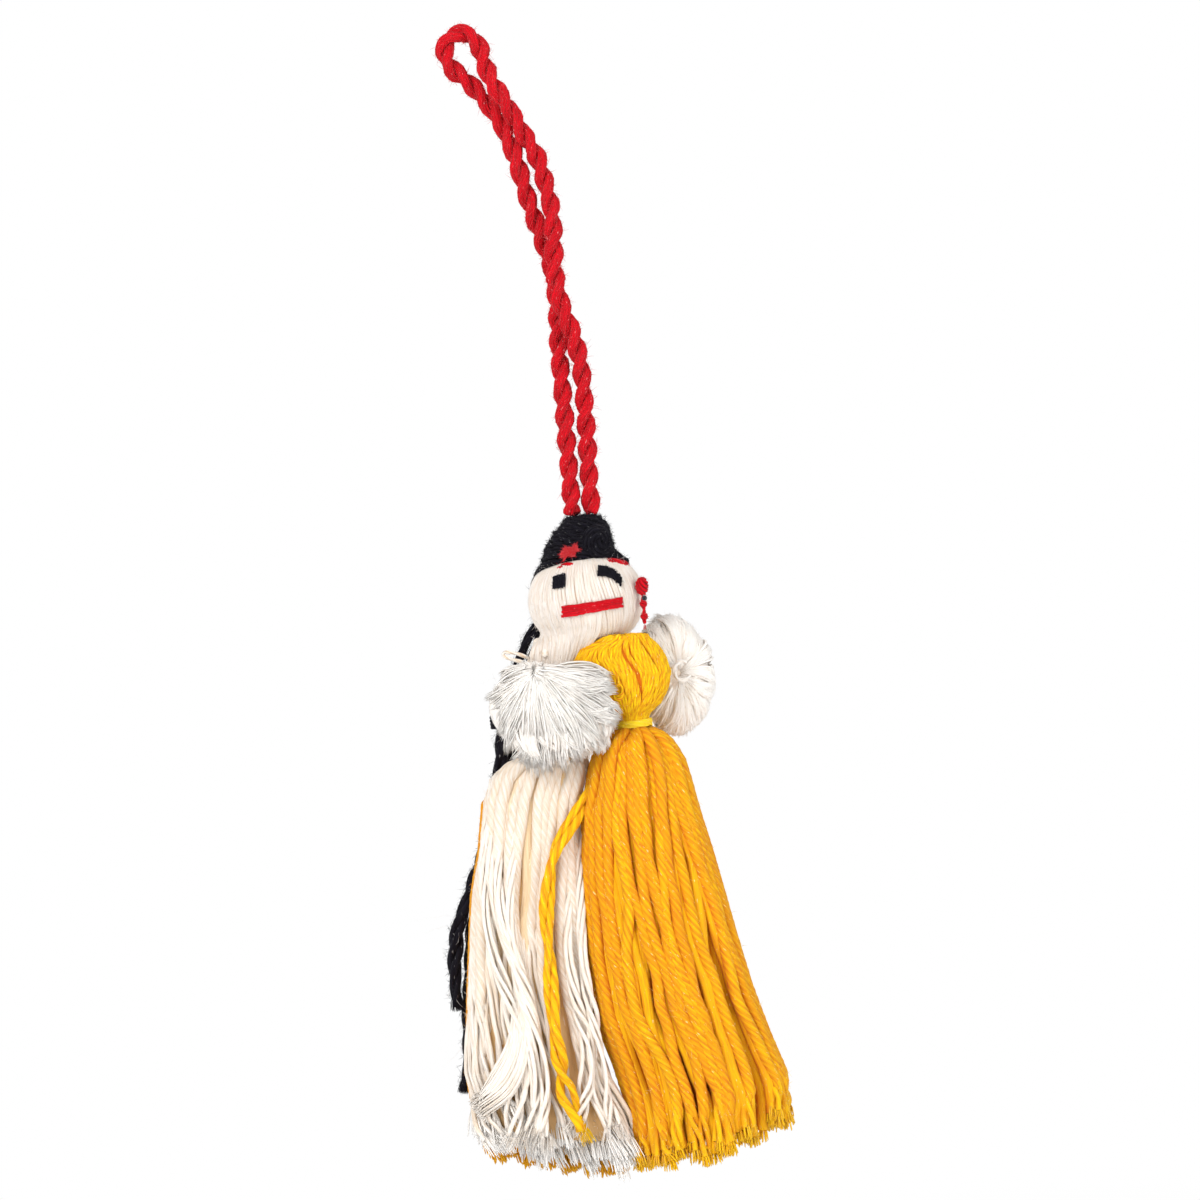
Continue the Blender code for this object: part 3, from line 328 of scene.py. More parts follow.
def pointed(paths: Array, outward: Array, radius: Array, tone: Array, cut: Array | float = 0.0) -> Surface:
    """Hairs of three sides that start and end in a point.

    Args:
        paths: Points, hairs by points by 3; the first and the last are the two tips.
        outward: Direction away from the surface under each hair.
        radius: Radius at each point.
        tone: Shade of each hair.
        cut: How near each point is to a cut end.

    Returns:
        The hairs' surface.
    """
    size = paths.shape[:2]
    thin, near = (np.broadcast_to(values, size)[:, 1:-1] for values in (radius, cut))
    return sweep(paths[:, 1:-1], outward, thin, HAIR, tone=tone, cut=near, tips=paths[:, [0, -1]])


@dataclass(frozen=True)
class Stray:
    """Stray hairs: how many, their mean length, the greatest angle from outward that one has, and their radius."""

    count: int
    length: float
    around: float = math.pi
    thickness: float = 0.022 * MM

    def grow(self, paths: Array, outward: Array, radius: float, rng: np.random.Generator) -> Surface:
        """Hairs that stand off yarns at random places and lean along them.

        A hair's place is its root, plus the direction times the way along, plus the bend times its square.

        Args:
            paths: The yarns' paths.
            outward: Direction away from what they lie on.
            radius: Radius of the yarns.
            rng: Source of random numbers.

        Returns:
            The hairs' surface.
        """
        along, up, side = frames(paths, outward)
        size = (self.count, 1)
        strand = rng.integers(0, paths.shape[0], self.count)
        ring = rng.integers(0, paths.shape[1] - 1, self.count)
        share = rng.random(size)
        middle = paths[strand, ring] * (1 - share) + paths[strand, ring + 1] * share
        angle = rng.uniform(-self.around, self.around, size)
        away = np.cos(angle) * up[strand, ring] + np.sin(angle) * side[strand, ring]
        lean = along[strand, ring] * rng.uniform(0.3, 1.1, size) * rng.choice((-1, 1), size)
        direction = unit(away * rng.uniform(0.2, 0.9, size) + lean)
        bend = rng.normal(0, 0.35, (self.count, 3)) - 0.2 * away
        length = self.length * rng.uniform(0.4, 1.5, self.count)
        t = np.linspace(0, 1, 4)
        step = direction[:, None] * t[None, :, None] + bend[:, None] * (t**2)[None, :, None]
        lines = (middle + away * radius * 0.8)[:, None] + step * length[:, None, None]
        thin = self.thickness * (1.1 - 0.5 * t)
        return pointed(lines, across(direction)[:, None], thin, rng.random(self.count))


@dataclass(frozen=True)
class Brush:
    """Frayed cut ends: hairs that leave a strand's end together, fan out, and end in line.

    It holds the hairs for each strand, the brush's length and half width, a hair's radius at its root, how much
    of the cut end's shade the tips take, and the share of the width that the hairs have at the root.
    """

    count: int
    length: float
    width: float
    thickness: float = 0.06 * MM
    cut: float = 1.0
    gather: float = 0.45

    def spread(self, ends: Array, directions: Array, rng: np.random.Generator) -> Surface:
        """A brush at each strand's end.

        A hair's place is its end's, plus the direction times the way along, plus a sideways step that grows with
        the sine of the way along.

        Args:
            ends: Where the strands end, strands by 3.
            directions: Which way they point.
            rng: Source of random numbers.

        Returns:
            The brushes' surface.
        """
        size = (len(ends) * self.count, 1)
        t = np.array((0.0, 0.36, 0.92, 1.0))
        base, ahead = (np.repeat(rows, self.count, axis=0) for rows in (ends, unit(directions)))
        first = across(ahead)
        second = np.cross(ahead, first)
        angle, reach = rng.uniform(0, TAU, size), np.sqrt(rng.random(size)) * self.width
        aside = (np.cos(angle) * first + np.sin(angle) * second) * reach
        opening = self.gather + (1 - self.gather) * np.sin(np.clip(t * 1.25, 0, 1) * math.pi / 2)
        length = self.length * rng.uniform(0.82, 1.08, (*size, 1))
        paths = base[:, None] + ahead[:, None] * length * t[None, :, None]
        paths = paths + aside[:, None] * opening[None, :, None]
        paths = paths + rng.normal(0, 0.04 * self.width, paths.shape) * t[None, :, None]
        thin = self.thickness * (1 - 0.45 * t) * rng.uniform(0.7, 1.2, size)
        shade = np.repeat(rng.random(len(ends)), self.count) + rng.normal(0, 0.15, size[0])
        return pointed(paths, first[:, None], thin, np.clip(shade, 0, 1), self.cut * t**1.5)


# Forms that the yarns lie on


class Form(Protocol):
    """A surface of two parameters: fall, from its top to its foot, and turn about its middle."""

    def at(self, fall: Array, turn: Array) -> Array:
        """Places on the form."""
        ...


@dataclass(frozen=True)
class Ball:
    """An ellipsoid about a pole: fall is the share of the way from the pole to the far side."""

    centre: Array
    radii: Array
    pole: Point = (0, 0, 1)

    def at(self, fall: Array, turn: Array) -> Array:
        """Centre plus the radii times the direction at a polar angle and a turn."""
        axis = unit(np.array(self.pole, float))
        start = np.array((1.0, 0.0, 0.0)) if abs(axis[2]) > 0.9 else unit(np.cross((0, 0, 1), axis))
        side = np.cross(axis, start)
        polar, turn = np.broadcast_arrays(np.asarray(fall) * math.pi, turn)
        flat = np.cos(turn)[..., None] * start + np.sin(turn)[..., None] * side
        direction = np.cos(polar)[..., None] * axis + np.sin(polar)[..., None] * flat
        return self.centre + direction * self.radii


HEAD_BALL = Ball(HEAD, HEAD_RADII)


def oval(turn: Array, half_width: Array, half_depth: Array, squareness: float = 2.0) -> tuple[Array, Array]:
    """Points of an oval, fuller at the corners as squareness rises above 2."""
    wide, deep = np.cos(turn), np.sin(turn)
    size = (np.abs(wide) ** squareness + np.abs(deep) ** squareness) ** (-1 / squareness)
    return wide * size * half_width, deep * size * half_depth


@dataclass(frozen=True)
class Bundle:
    """A bundle of yarn: ovals from rows of fall, half width, half depth, x and y in millimetres, top first."""

    rows: tuple[tuple[float, ...], ...]
    top: float
    length: float
    dome: float = 0.0

    def at(self, fall: Array, turn: Array) -> Array:
        """The oval at the fall; above a fall of zero it closes in a dome, as the yarn folds over."""
        fall, turn = np.broadcast_arrays(fall, turn)
        table = np.array(self.rows)
        wide, deep, x, y = (np.interp(fall, table[:, 0], table[:, k]) for k in range(1, 5))
        over = np.clip(-fall / 0.14, 0, 1)
        close = np.sqrt(1 - np.minimum(over, 0.97) ** 2)
        dx, dy = oval(turn, wide * close, deep * close)
        z = self.top - self.length * np.maximum(fall, 0) + self.dome * np.sin(over * math.pi / 2)
        return from_crown(np.stack([x + dx, y + dy, z], axis=-1))


def hem(x: Array) -> Array:
    """Height of the skirts' hem in millimetres from the crown: lowest in the middle, 5 mm higher at 25 mm."""
    return -97.2 + 5.0 * (x / 25.0) ** 2


@dataclass(frozen=True)
class SkirtForm:
    """A tassel skirt between four edges, each a table of falls and places in millimetres."""

    left: tuple[Row, ...]
    right: tuple[Row, ...]
    front: tuple[Row, ...]
    back: tuple[Row, ...]
    top: float
    lower: float = 0.0

    def edges(self, fall: Array) -> tuple[Array, ...]:
        """Left, right, front and back at a fall."""
        tables = (np.array(edge) for edge in (self.left, self.right, self.front, self.back))
        return tuple(np.interp(fall, table[:, 0], table[:, 1]) for table in tables)

    def at(self, fall: Array, turn: Array) -> Array:
        """The square oval between the four edges, down to a hem that rises towards both sides."""
        fall, turn = np.broadcast_arrays(fall, turn)
        low, high, near, far = self.edges(fall)
        dx, dy = oval(turn, (high - low) / 2, (far - near) / 2, 2.4)
        x, y = (low + high) / 2 + dx, (near + far) / 2 + dy
        foot = hem(x) - self.lower
        return from_crown(np.stack([x, y, self.top + (foot - self.top) * fall], axis=-1))


@dataclass(frozen=True)
class CapForm:
    """The wound cap, from the cord's foot down to the hairline, in millimetres; its rim droops at the sides."""

    heights: tuple[float, ...] = (-0.1, -0.6, -1.4, -2.4, -3.7, -5.1, -6.0, -6.6)
    radii: tuple[float, ...] = (0.6, 2.5, 3.2, 4.0, 4.7, 5.1, 5.7, 6.2)
    bulges: tuple[float, ...] = (0.0, 0.1, 0.1, 0.25, 0.5, 0.65, 0.55, 0.3)
    droop: float = 1.9
    lifted: float = 0.8
    head_depth: float = 12.7

    def at(self, fall: Array, turn: Array) -> Array:
        """The turned outline, fuller on the left, moved from the crown's axis to the head's as it falls."""
        fall, turn = np.broadcast_arrays(fall, turn)
        share = np.linspace(0, 1, len(self.radii))
        radius, height, bulge = (np.interp(fall, share, row) for row in (self.radii, self.heights, self.bulges))
        radius = radius - bulge * np.cos(turn)
        rim = np.clip(fall, 0, 2) ** 5
        sag = self.droop * np.clip(1 + np.sin(turn), 0, 1) - self.lifted * np.clip(np.cos(turn), 0, 1)
        height = height - rim * sag
        head = HEAD_RADII / MM
        deep = np.clip((height + self.head_depth) / head[2], -1, 1)
        over = head[0] * np.sqrt(1 - deep**2) + 0.35
        radius = np.where(fall > 0.6, np.maximum(radius * (1 - ramp(fall, 0.8, 1)), over), radius)
        x = radius * np.cos(turn) - 0.45 * ramp(fall, 0.2, 0.9)
        return from_crown(np.stack([x, radius * np.sin(turn), height], axis=-1))


def lay(form: Form, fall: Array, turn: Array, lift: float | Array = 0.0) -> tuple[Array, Array]:
    """Paths over a form and the directions away from it.

    The direction is the cross product of a small step of fall and a small step of turn.

    Args:
        form: What the paths lie on.
        fall: Fall of each point, strands by rings.
        turn: Turn of each point.
        lift: Height above the form.

    Returns:
        Points and outward directions, strands by rings by 3.
    """
    fall, turn = np.broadcast_arrays(fall, turn)
    e = 2e-3
    down = form.at(fall + e, turn) - form.at(fall - e, turn)
    around = form.at(fall, turn + e) - form.at(fall, turn - e)
    out = unit(np.cross(down, around))
    return form.at(fall, turn) + out * np.broadcast_to(lift, fall.shape)[..., None], out


def shell(form: Form, falls: Array, corners: int, lift: float | Array = 0.0) -> Surface:
    """A closed skin over a form: a grid of falls and turns, closed by a fan at each end."""
    turn = np.arange(corners) * TAU / corners
    rings, _ = lay(form, falls[:, None], turn[None], lift)
    here = np.arange(rings.shape[0] * corners).reshape(rings.shape[0], corners)
    after = np.roll(here, -1, axis=1)
    quads = np.stack([here[:-1], here[1:], after[1:], after[:-1]], axis=-1).reshape(-1, 4)
    top, foot = np.full(corners, here.size), np.full(corners, here.size + 1)
    tris = np.concatenate(
        [np.stack([top, here[0], after[0]], axis=-1), np.stack([foot, after[-1], here[-1]], axis=-1)]
    )
    points = np.concatenate([rings.reshape(-1, 3), [rings[0].mean(axis=0), rings[-1].mean(axis=0)]])
    u = np.broadcast_to(turn / TAU * 4, (len(falls) - 1, corners))
    v0, v1 = (np.broadcast_to(v[:, None] * 2, u.shape) for v in (falls[:-1], falls[1:]))
    step = 4 / corners
    quad_map = np.stack([u, v0, u, v1, u + step, v1, u + step, v0], axis=-1).reshape(-1, 4, 2)
    tri_map = np.zeros((len(tris), 3, 2))
    value = np.full(len(points), 0.5)
    # A groove of one gives the skin the deep colour all over: painted shade where it shows between the yarns laid
    # over it.
    return Surface(points, quads, tris, quad_map, tri_map, value, 2 * value, 0 * value)


def clear_of_head(paths: Array, margin: float) -> Array:
    """Paths with every point that lies in the head, enlarged by a margin, moved out to its surface."""
    radii = HEAD_RADII + margin
    scaled = (paths - HEAD) / radii
    size = np.linalg.norm(scaled, axis=-1, keepdims=True)
    return np.where(size < 1, HEAD + scaled / np.maximum(size, 1e-6) * radii, paths)


@dataclass(frozen=True)
class Winding:
    """A yarn wound round a form: falls of its ends, turns, points in a turn, height and swing of its fall."""

    start: float
    stop: float
    turns: float
    step: int
    lift: float
    slope: float = 0.0

    def on(self, form: Form) -> tuple[Array, Array]:
        """Its path, one strand by rings by 3, and the directions away from the form."""
        share = np.linspace(0, 1, int(self.turns * self.step))[None]
        turn = TAU * self.turns * share
        fall = self.start + (self.stop - self.start) * share + self.slope * np.sin(turn)
        return lay(form, fall, turn, self.lift)


# Finishes


def feed(node: bpy.types.Node, given: dict[str | int, object]) -> None:
    """Gives a node's inputs plain values, or links them where they are given another node's output."""
    for socket, value in given.items():
        if isinstance(value, bpy.types.NodeSocket):
            node.id_data.links.new(value, node.inputs[socket])
        else:
            node.inputs[socket].default_value = value


def add_node(
    tree: bpy.types.NodeTree, kind: str, given: dict[str | int, object] | None = None, **settings: object
) -> bpy.types.Node:
    """A shader node.

    Args:
        tree: The node tree that it goes into.
        kind: Its type, without the word ShaderNode.
        given: Its inputs' values, or the outputs that they are linked to.
        settings: Its own settings.

    Returns:
        The node.
    """
    node = tree.nodes.new(f"ShaderNode{kind}")
    for name, value in settings.items():
        setattr(node, name, value)
    feed(node, given or {})
    return node


def new_group(name: str, inputs: dict[str, str], outputs: dict[str, str]) -> bpy.types.NodeTree:
    """An empty shader node group with its sockets.

    Args:
        name: The group's name.
        inputs: Names of the inputs with their kinds.
        outputs: Names of the outputs with their kinds.

    Returns:
        The group, with a node for its inputs and one for its outputs.
    """
    group = bpy.data.node_groups.new(name, "ShaderNodeTree")
    for side, sockets in (("INPUT", inputs), ("OUTPUT", outputs)):
        for label, kind in sockets.items():
            group.interface.new_socket(label, in_out=side, socket_type=f"NodeSocket{kind}")
    group.nodes.new("NodeGroupInput")
    group.nodes.new("NodeGroupOutput")
    return group


def fibre_group() -> None:
    """Fine fibres along a yarn: a noise stretched along it, a broad one for uneven tone, and short pale spots for
    painted glints.
    """
    outputs = dict.fromkeys(("Streak", "Cloud", "Glint", "Roughness"), "Float")
    group = new_group("fibre_streaks", {"Place": "Vector", "Stretch": "Vector"}, outputs)
    given = group.nodes["Group Input"].outputs
    scaled = add_node(group, "VectorMath", {0: given["Place"], 1: given["Stretch"]}, operation="MULTIPLY")
    place = scaled.outputs[0]
    short = add_node(group, "VectorMath", {0: place, 1: (0.8, 4.0, 1.0)}, operation="MULTIPLY").outputs[0]
    fine = add_node(group, "TexNoise", {"Vector": place, "Scale": 1.0, "Detail": 3.0, "Roughness": 0.6})
    broad = add_node(group, "TexNoise", {"Vector": place, "Scale": 0.11, "Detail": 1.0})
    spots = add_node(group, "TexNoise", {"Vector": short, "Scale": 1.0})
    streak = add_node(group, "MapRange", {"Value": fine.outputs["Fac"], "From Min": 0.42, "From Max": 0.66})
    # Painted glints: the highest spots of the short noise.
    glint = add_node(group, "MapRange", {"Value": spots.outputs["Fac"], "From Min": 0.66, "From Max": 0.76})
    rough = add_node(group, "MapRange", {"Value": streak.outputs["Result"], "To Min": 0.95, "To Max": 0.68})
    shown = (streak.outputs["Result"], broad.outputs["Fac"], glint.outputs["Result"], rough.outputs["Result"])
    feed(group.nodes["Group Output"], dict(zip(outputs, shown)))


def tint_group() -> None:
    """Colour of a yarn: light to warm by strand, the deep colour of painted shade in grooves and streaks, painted
    glints in a paler colour, and its own at cut ends.
    """
    colours = dict.fromkeys(("Light", "Warm", "Deep", "End", "Painted Glint"), "Color")
    values = dict.fromkeys(("Tone", "Groove", "Streak", "Cloud", "Glint", "Cut"), "Float")
    group = new_group("strand_tint", colours | values, {"Color": "Color"})
    given = group.nodes["Group Input"].outputs

    def total(first: str, second: str, share: float) -> bpy.types.NodeSocket:
        """One input plus a share of another, held between zero and one."""
        inputs = {0: given[second], 1: share, 2: given[first]}
        return add_node(group, "Math", inputs, operation="MULTIPLY_ADD", use_clamp=True).outputs[0]

    shade = given["Light"]
    # After the warm tone by strand come painted shade over the grooves and streaks, then painted glints, then the
    # cut ends' own colour.
    for name, factor in (
        ("Warm", total("Tone", "Cloud", 0.25)),
        ("Deep", total("Groove", "Streak", 0.50)),
        ("Painted Glint", given["Glint"]),
        ("End", given["Cut"]),
    ):
        mix = add_node(group, "Mix", data_type="RGBA")
        feed(mix, {"Factor": factor})
        feed(mix, {"A": shade, "B": given[name]})
        shade = mix.outputs["Result"]
    feed(group.nodes["Group Output"], {"Color": shade})


class Laying(Enum):
    """How a finish finds its fibres: along the yarn's own map, or up and down the object."""

    MAP = "lay"
    OBJECT = "object"


@dataclass(frozen=True)
class YarnFinish:
    """A dyed yarn: its colours, among them a deep one for painted shade and a paler one for painted glints, how
    its fibres catch the light, and how fine they are.
    """

    name: str
    slot: str
    light: Colour
    warm: Colour
    # Colour of painted shade: in grooves, on sides that face other yarns and on the skins below them.
    deep: Colour
    end: Colour
    sheen: float = 0.25
    gloss: float = 0.3
    fineness: float = 44.0
    bump: float = 0.9
    # How much paler than the yarn its painted glints are.
    glint: float = 0.3
    laying: Laying = Laying.MAP

    def paler(self, share: float) -> Colour:
        """The light colour moved towards white by a share."""
        return tuple(value + (1 - value) * share for value in self.light)

    def painted_shine(self, share: float = 0.45) -> "YarnFinish":
        """A paler copy of the yarn by a share, without painted shade: painted highlight where single hairs catch
        the light.
        """
        name, pale = f"{self.name}_hairs", self.paler(share)
        return replace(self, name=name, light=pale, warm=self.light, deep=self.light, gloss=0.5)

    def frayed(self) -> "YarnFinish":
        """The same yarn at its cut ends: single smooth fibres."""
        return replace(self, name=f"{self.name}_fibres", deep=self.warm, bump=0.1, sheen=0.1)

    def solid(self) -> "YarnFinish":
        """The same yarn on a model piece, which has no map."""
        return replace(self, laying=Laying.OBJECT)

    def material(self) -> bpy.types.Material:
        """The finish as a material, made once."""
        label = f"{self.name}_{self.laying.value}"
        if label in bpy.data.materials:
            return bpy.data.materials[label]
        made = bpy.data.materials.new(label)
        made.use_nodes = True
        tree, groups = made.node_tree, bpy.data.node_groups
        if self.laying is Laying.MAP:
            place = add_node(tree, "UVMap", uv_map="lay").outputs["UV"]
            stretch = (self.fineness, self.fineness * 0.06, 1.0)
            own = ("Tone", "Groove", "Cut")
        else:
            place = add_node(tree, "TexCoord").outputs["Object"]
            stretch = (self.fineness * 60, self.fineness * 60, self.fineness * 6)
            own = ()
        fibres = add_node(tree, "Group", node_tree=groups["fibre_streaks"])
        feed(fibres, {"Place": place, "Stretch": stretch})
        tint = add_node(tree, "Group", node_tree=groups["strand_tint"])
        colours = (self.light, self.warm, self.deep, self.end, self.paler(self.glint))
        for name, colour in zip(("Light", "Warm", "Deep", "End", "Painted Glint"), colours):
            feed(tint, {name: (*colour, 1.0)})
        feed(tint, {name: fibres.outputs[name] for name in ("Streak", "Cloud", "Glint")})
        for name in own:
            feed(tint, {name: add_node(tree, "Attribute", attribute_name=name.lower()).outputs["Fac"]})
        raised = add_node(tree, "Bump", {"Strength": self.bump, "Distance": 0.06 * MM})
        feed(raised, {"Height": fibres.outputs["Streak"]})
        feed(
            tree.nodes["Principled BSDF"],
            {
                "Normal": raised.outputs["Normal"],
                "Base Color": tint.outputs["Color"],
                "Roughness": fibres.outputs["Roughness"],
                "Specular IOR Level": self.gloss,
                "Sheen Weight": self.sheen,
                "Sheen Roughness": 0.45,
            },
        )
        return made


RED = YarnFinish(
    "red_yarn", "red_yarn", (0.76, 0.004, 0.014), (0.60, 0.001, 0.009), (0.30, 0.0, 0.004), (0.7, 0.01, 0.02),
    sheen=0.06, gloss=0.2,
)
BLACK = YarnFinish(
    "black_yarn", "black_yarn", (0.006, 0.005, 0.009), (0.012, 0.011, 0.018), (0.002, 0.001, 0.003),
    (0.014, 0.012, 0.018), sheen=0.03, gloss=0.12,
)
SLATE = YarnFinish(
    "slate_thread", "black_yarn", (0.02, 0.03, 0.06), (0.03, 0.03, 0.08), (0.01, 0.01, 0.02),
    (0.02, 0.02, 0.05),
)
# The white yarn's end colour is paler than the yarn itself: painted light against the shade among the fine hairs
# at the cut ends.
WHITE = YarnFinish(
    "white_yarn", "white_yarn", (0.92, 0.89, 0.85), (0.90, 0.83, 0.75), (0.78, 0.60, 0.42), (0.985, 0.97, 0.95)
)
# The white yarn painted darker and warmer for the layers below the skirt's top yarns: painted shade.
SHADED_WHITE = replace(
    WHITE, name="white_yarn_painted_shade", light=(0.88, 0.78, 0.62), warm=(0.85, 0.67, 0.44), deep=(0.70, 0.44, 0.20)
)
SILK = YarnFinish(
    "white_head_thread", "white_yarn", (0.89, 0.85, 0.81), (0.85, 0.78, 0.71), (0.78, 0.60, 0.45),
    (0.8, 0.7, 0.6), fineness=60.0,
)
FLUFF = YarnFinish(
    "white_fluff", "white_yarn", (0.98, 0.965, 0.94), (0.96, 0.92, 0.87), (0.90, 0.80, 0.70),
    (0.985, 0.975, 0.96), sheen=0.1,
)
YELLOW = YarnFinish(
    "yellow_yarn", "yellow_yarn", (0.91, 0.61, 0.002), (0.86, 0.44, 0.002), (0.66, 0.16, 0.001),
    (0.90, 0.52, 0.002), sheen=0.02,
)
LEMON = replace(YELLOW, name="yellow_yarn_above", light=(0.98, 0.71, 0.003), warm=(0.96, 0.60, 0.002))
UNDER = YarnFinish(
    "under_yellow_yarn", "yellow_yarn", (0.90, 0.48, 0.005), (0.84, 0.37, 0.004), (0.62, 0.19, 0.002),
    (0.82, 0.42, 0.008), sheen=0.03,
)


# Pieces


def set_object(name: str, data: bpy.types.ID) -> bpy.types.Object:
    """An object of the scene from a mesh, a lamp or a camera."""
    obj = bpy.data.objects.new(name, data)
    bpy.context.scene.collection.objects.link(obj)
    return obj


def make_mesh(name: str, surface: Surface) -> bpy.types.Mesh:
    """A mesh from a surface's arrays.

    Args:
        name: Name of the mesh.
        surface: Its arrays.

    Returns:
        The mesh, smooth, with its map and its values at each point.
    """
    mesh = bpy.data.meshes.new(name)
    mesh.vertices.add(len(surface.points))
    mesh.vertices.foreach_set("co", surface.points.astype(np.float32).ravel())
    corners = np.concatenate([surface.quads.ravel(), surface.tris.ravel()])
    mesh.loops.add(len(corners))
    mesh.loops.foreach_set("vertex_index", corners.astype(np.int32))
    of_quads, of_tris = np.arange(len(surface.quads)) * 4, np.arange(len(surface.tris)) * 3
    starts = np.concatenate([of_quads, surface.quads.size + of_tris])
    mesh.polygons.add(len(starts))
    mesh.polygons.foreach_set("loop_start", starts.astype(np.int32))
    mesh.polygons.foreach_set("use_smooth", np.ones(len(starts), bool))
    mesh.update(calc_edges=True)
    layout = np.concatenate([surface.quad_map.ravel(), surface.tri_map.ravel()])
    mesh.uv_layers.new(name="lay").data.foreach_set("uv", layout.astype(np.float32))
    for label in ("tone", "groove", "cut"):
        values = getattr(surface, label).astype(np.float32)
        mesh.attributes.new(label, "FLOAT", "POINT").data.foreach_set("value", values)
    mesh.validate()
    return mesh


def set_piece(
    name: str, parts: Sequence[Surface], finish: YarnFinish, body: str, *nodes: str
) -> bpy.types.Object:
    """Makes a piece at the origin, dresses it and puts it on the body that carries it.

    Args:
        name: Name of the piece.
        parts: Its surfaces.
        finish: Its yarn.
        body: The body that it moves with, or an empty string for none.
        nodes: The model's pieces that it stands for.

    Returns:
        The piece.
    """
    surface = join(parts)
    obj = set_object(name, make_mesh(name, surface))
    obj.data.materials.append(finish.material())
    if body:
        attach(obj, body)
    if nodes:
        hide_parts(*nodes)
    triangles = 2 * len(surface.quads) + len(surface.tris)
    LOG.info("%s: %d triangles, on %s", name, triangles, body or "two bodies")
    return obj


def dress_node(node: str, finish: YarnFinish) -> None:
    """Gives a model piece that stays, and that other yarn covers, its finish."""
    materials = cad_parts[node].data.materials
    materials.clear()
    materials.append(finish.solid().material())


def span(node: str) -> tuple[Array, Array]:
    """Centre of a model piece's box, and half of its size."""
    low, high = (np.array(corner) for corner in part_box(node))
    return (low + high) / 2, (high - low) / 2


def seen_ray(tree: bpy.types.NodeTree) -> bpy.types.NodeSocket:
    """One for rays that the camera, a gloss or a clear surface sends out, and zero for light on the object."""
    path = add_node(tree, "LightPath").outputs
    total = path["Is Camera Ray"]
    for name in ("Is Glossy Ray", "Is Transmission Ray"):
        total = add_node(tree, "Math", {0: total, 1: path[name]}, operation="MAXIMUM").outputs[0]
    return total


@dataclass(frozen=True)
class Studio:
    """Camera at the photograph's angle, soft lamps, a white world and a pale floor below the hanging doll."""

    aim: Point = (0.01494, 0.0, -0.0844)
    width: float = 0.18
    distance: float = 0.75
    lean: float = math.radians(4.05)
    floor_drop: float = 0.205
    floor_radius: float = 1.5
    world_light: float = 0.58
    lamps: tuple[tuple[str, Point, float, float], ...] = (
        ("window_light", (-0.45, -0.75, 0.30), 0.50, 6.0),
        ("side_light", (0.70, -0.60, 0.05), 0.60, 3.6),
        ("back_light", (0.10, 0.80, 0.35), 0.60, 2.6),
        ("low_light", (-0.10, -0.55, -0.50), 0.50, 2.6),
    )

    def build(self) -> None:
        """Sets the camera, the world, the lamps and the floor."""
        self.set_camera()
        self.set_world()
        for lamp in self.lamps:
            self.set_lamp(*lamp)
        self.set_floor()
        bpy.context.scene.view_settings.view_transform = "Standard"

    def set_camera(self) -> None:
        """A long lens level with the doll's middle, turned about its own axis as the photograph leans."""
        data = bpy.data.cameras.new("camera")
        data.lens = data.sensor_width * self.distance / self.width
        camera = set_object("camera", data)
        x, y, z = self.aim
        level = Matrix.Rotation(math.pi / 2, 4, "X") @ Matrix.Rotation(-self.lean, 4, "Z")
        camera.matrix_world = Matrix.Translation((x, y - self.distance, z)) @ level
        bpy.context.scene.camera = camera

    def set_world(self) -> None:
        """White where it is seen, and a plain level of light elsewhere."""
        world = bpy.data.worlds.new("studio")
        world.use_nodes = True
        tree = world.node_tree
        lit = tree.nodes["Background"]
        feed(lit, {"Color": (1.0, 1.0, 1.0, 1.0), "Strength": self.world_light})
        seen = add_node(tree, "Background", {"Color": (1.0, 1.0, 1.0, 1.0)})
        mix = add_node(tree, "MixShader", {0: seen_ray(tree), 1: lit.outputs[0], 2: seen.outputs[0]})
        feed(tree.nodes["World Output"], {"Surface": mix.outputs[0]})
        bpy.context.scene.world = world

    def set_lamp(self, name: str, place: Point, size: float, power: float) -> None:
        """A square soft lamp that faces the doll's middle.

        Args:
            name: Name of the lamp.
            place: Where it stands.
            size: Length of its side.
            power: Its power in watts.
        """
        data = bpy.data.lights.new(name, "AREA")
        data.size, data.energy = size, power
        turned = (Vector(self.aim) - Vector(place)).to_track_quat("-Z", "Y").to_matrix().to_4x4()
        set_object(name, data).matrix_world = Matrix.Translation(place) @ turned

    def set_floor(self) -> None:
        """A round floor that takes the doll's shadow near its middle and is plain white further out."""
        turn = np.arange(64) * TAU / 64
        x, y = self.aim[0] + self.floor_radius * np.cos(turn), self.floor_radius * np.sin(turn)
        mesh = bpy.data.meshes.new("floor")
        ring = np.stack([x, y, np.full(64, -self.floor_drop)], axis=1).tolist()
        mesh.from_pydata(ring, [], [list(range(64))])
        made = bpy.data.materials.new("pale_floor")
        made.use_nodes = True
        tree = made.node_tree
        shader = tree.nodes["Principled BSDF"]
        feed(shader, {"Base Color": (0.92, 0.92, 0.92, 1.0), "Roughness": 0.9})
        place = add_node(tree, "TexCoord").outputs["Object"]
        far = add_node(tree, "VectorMath", {0: place}, operation="LENGTH")
        edge = add_node(
            tree, "MapRange",
            {"Value": far.outputs["Value"], "From Min": 0.22, "From Max": 0.34, "To Min": 0.35},
            interpolation_type="SMOOTHSTEP",
        )
        both = add_node(tree, "Math", {0: edge.outputs["Result"], 1: seen_ray(tree)}, operation="MULTIPLY")
        white = add_node(tree, "Emission")
        mix = add_node(tree, "MixShader", {0: both.outputs[0], 1: shader.outputs[0], 2: white.outputs[0]})
        feed(tree.nodes["Material Output"], {"Surface": mix.outputs[0]})
        mesh.materials.append(made)
        set_object("floor", mesh)


# Routes and outlines


def table(falls: Sequence[float], values: Sequence[float]) -> tuple[Row, ...]:
    """Rows of fall and value."""
    return tuple(zip(falls, values))


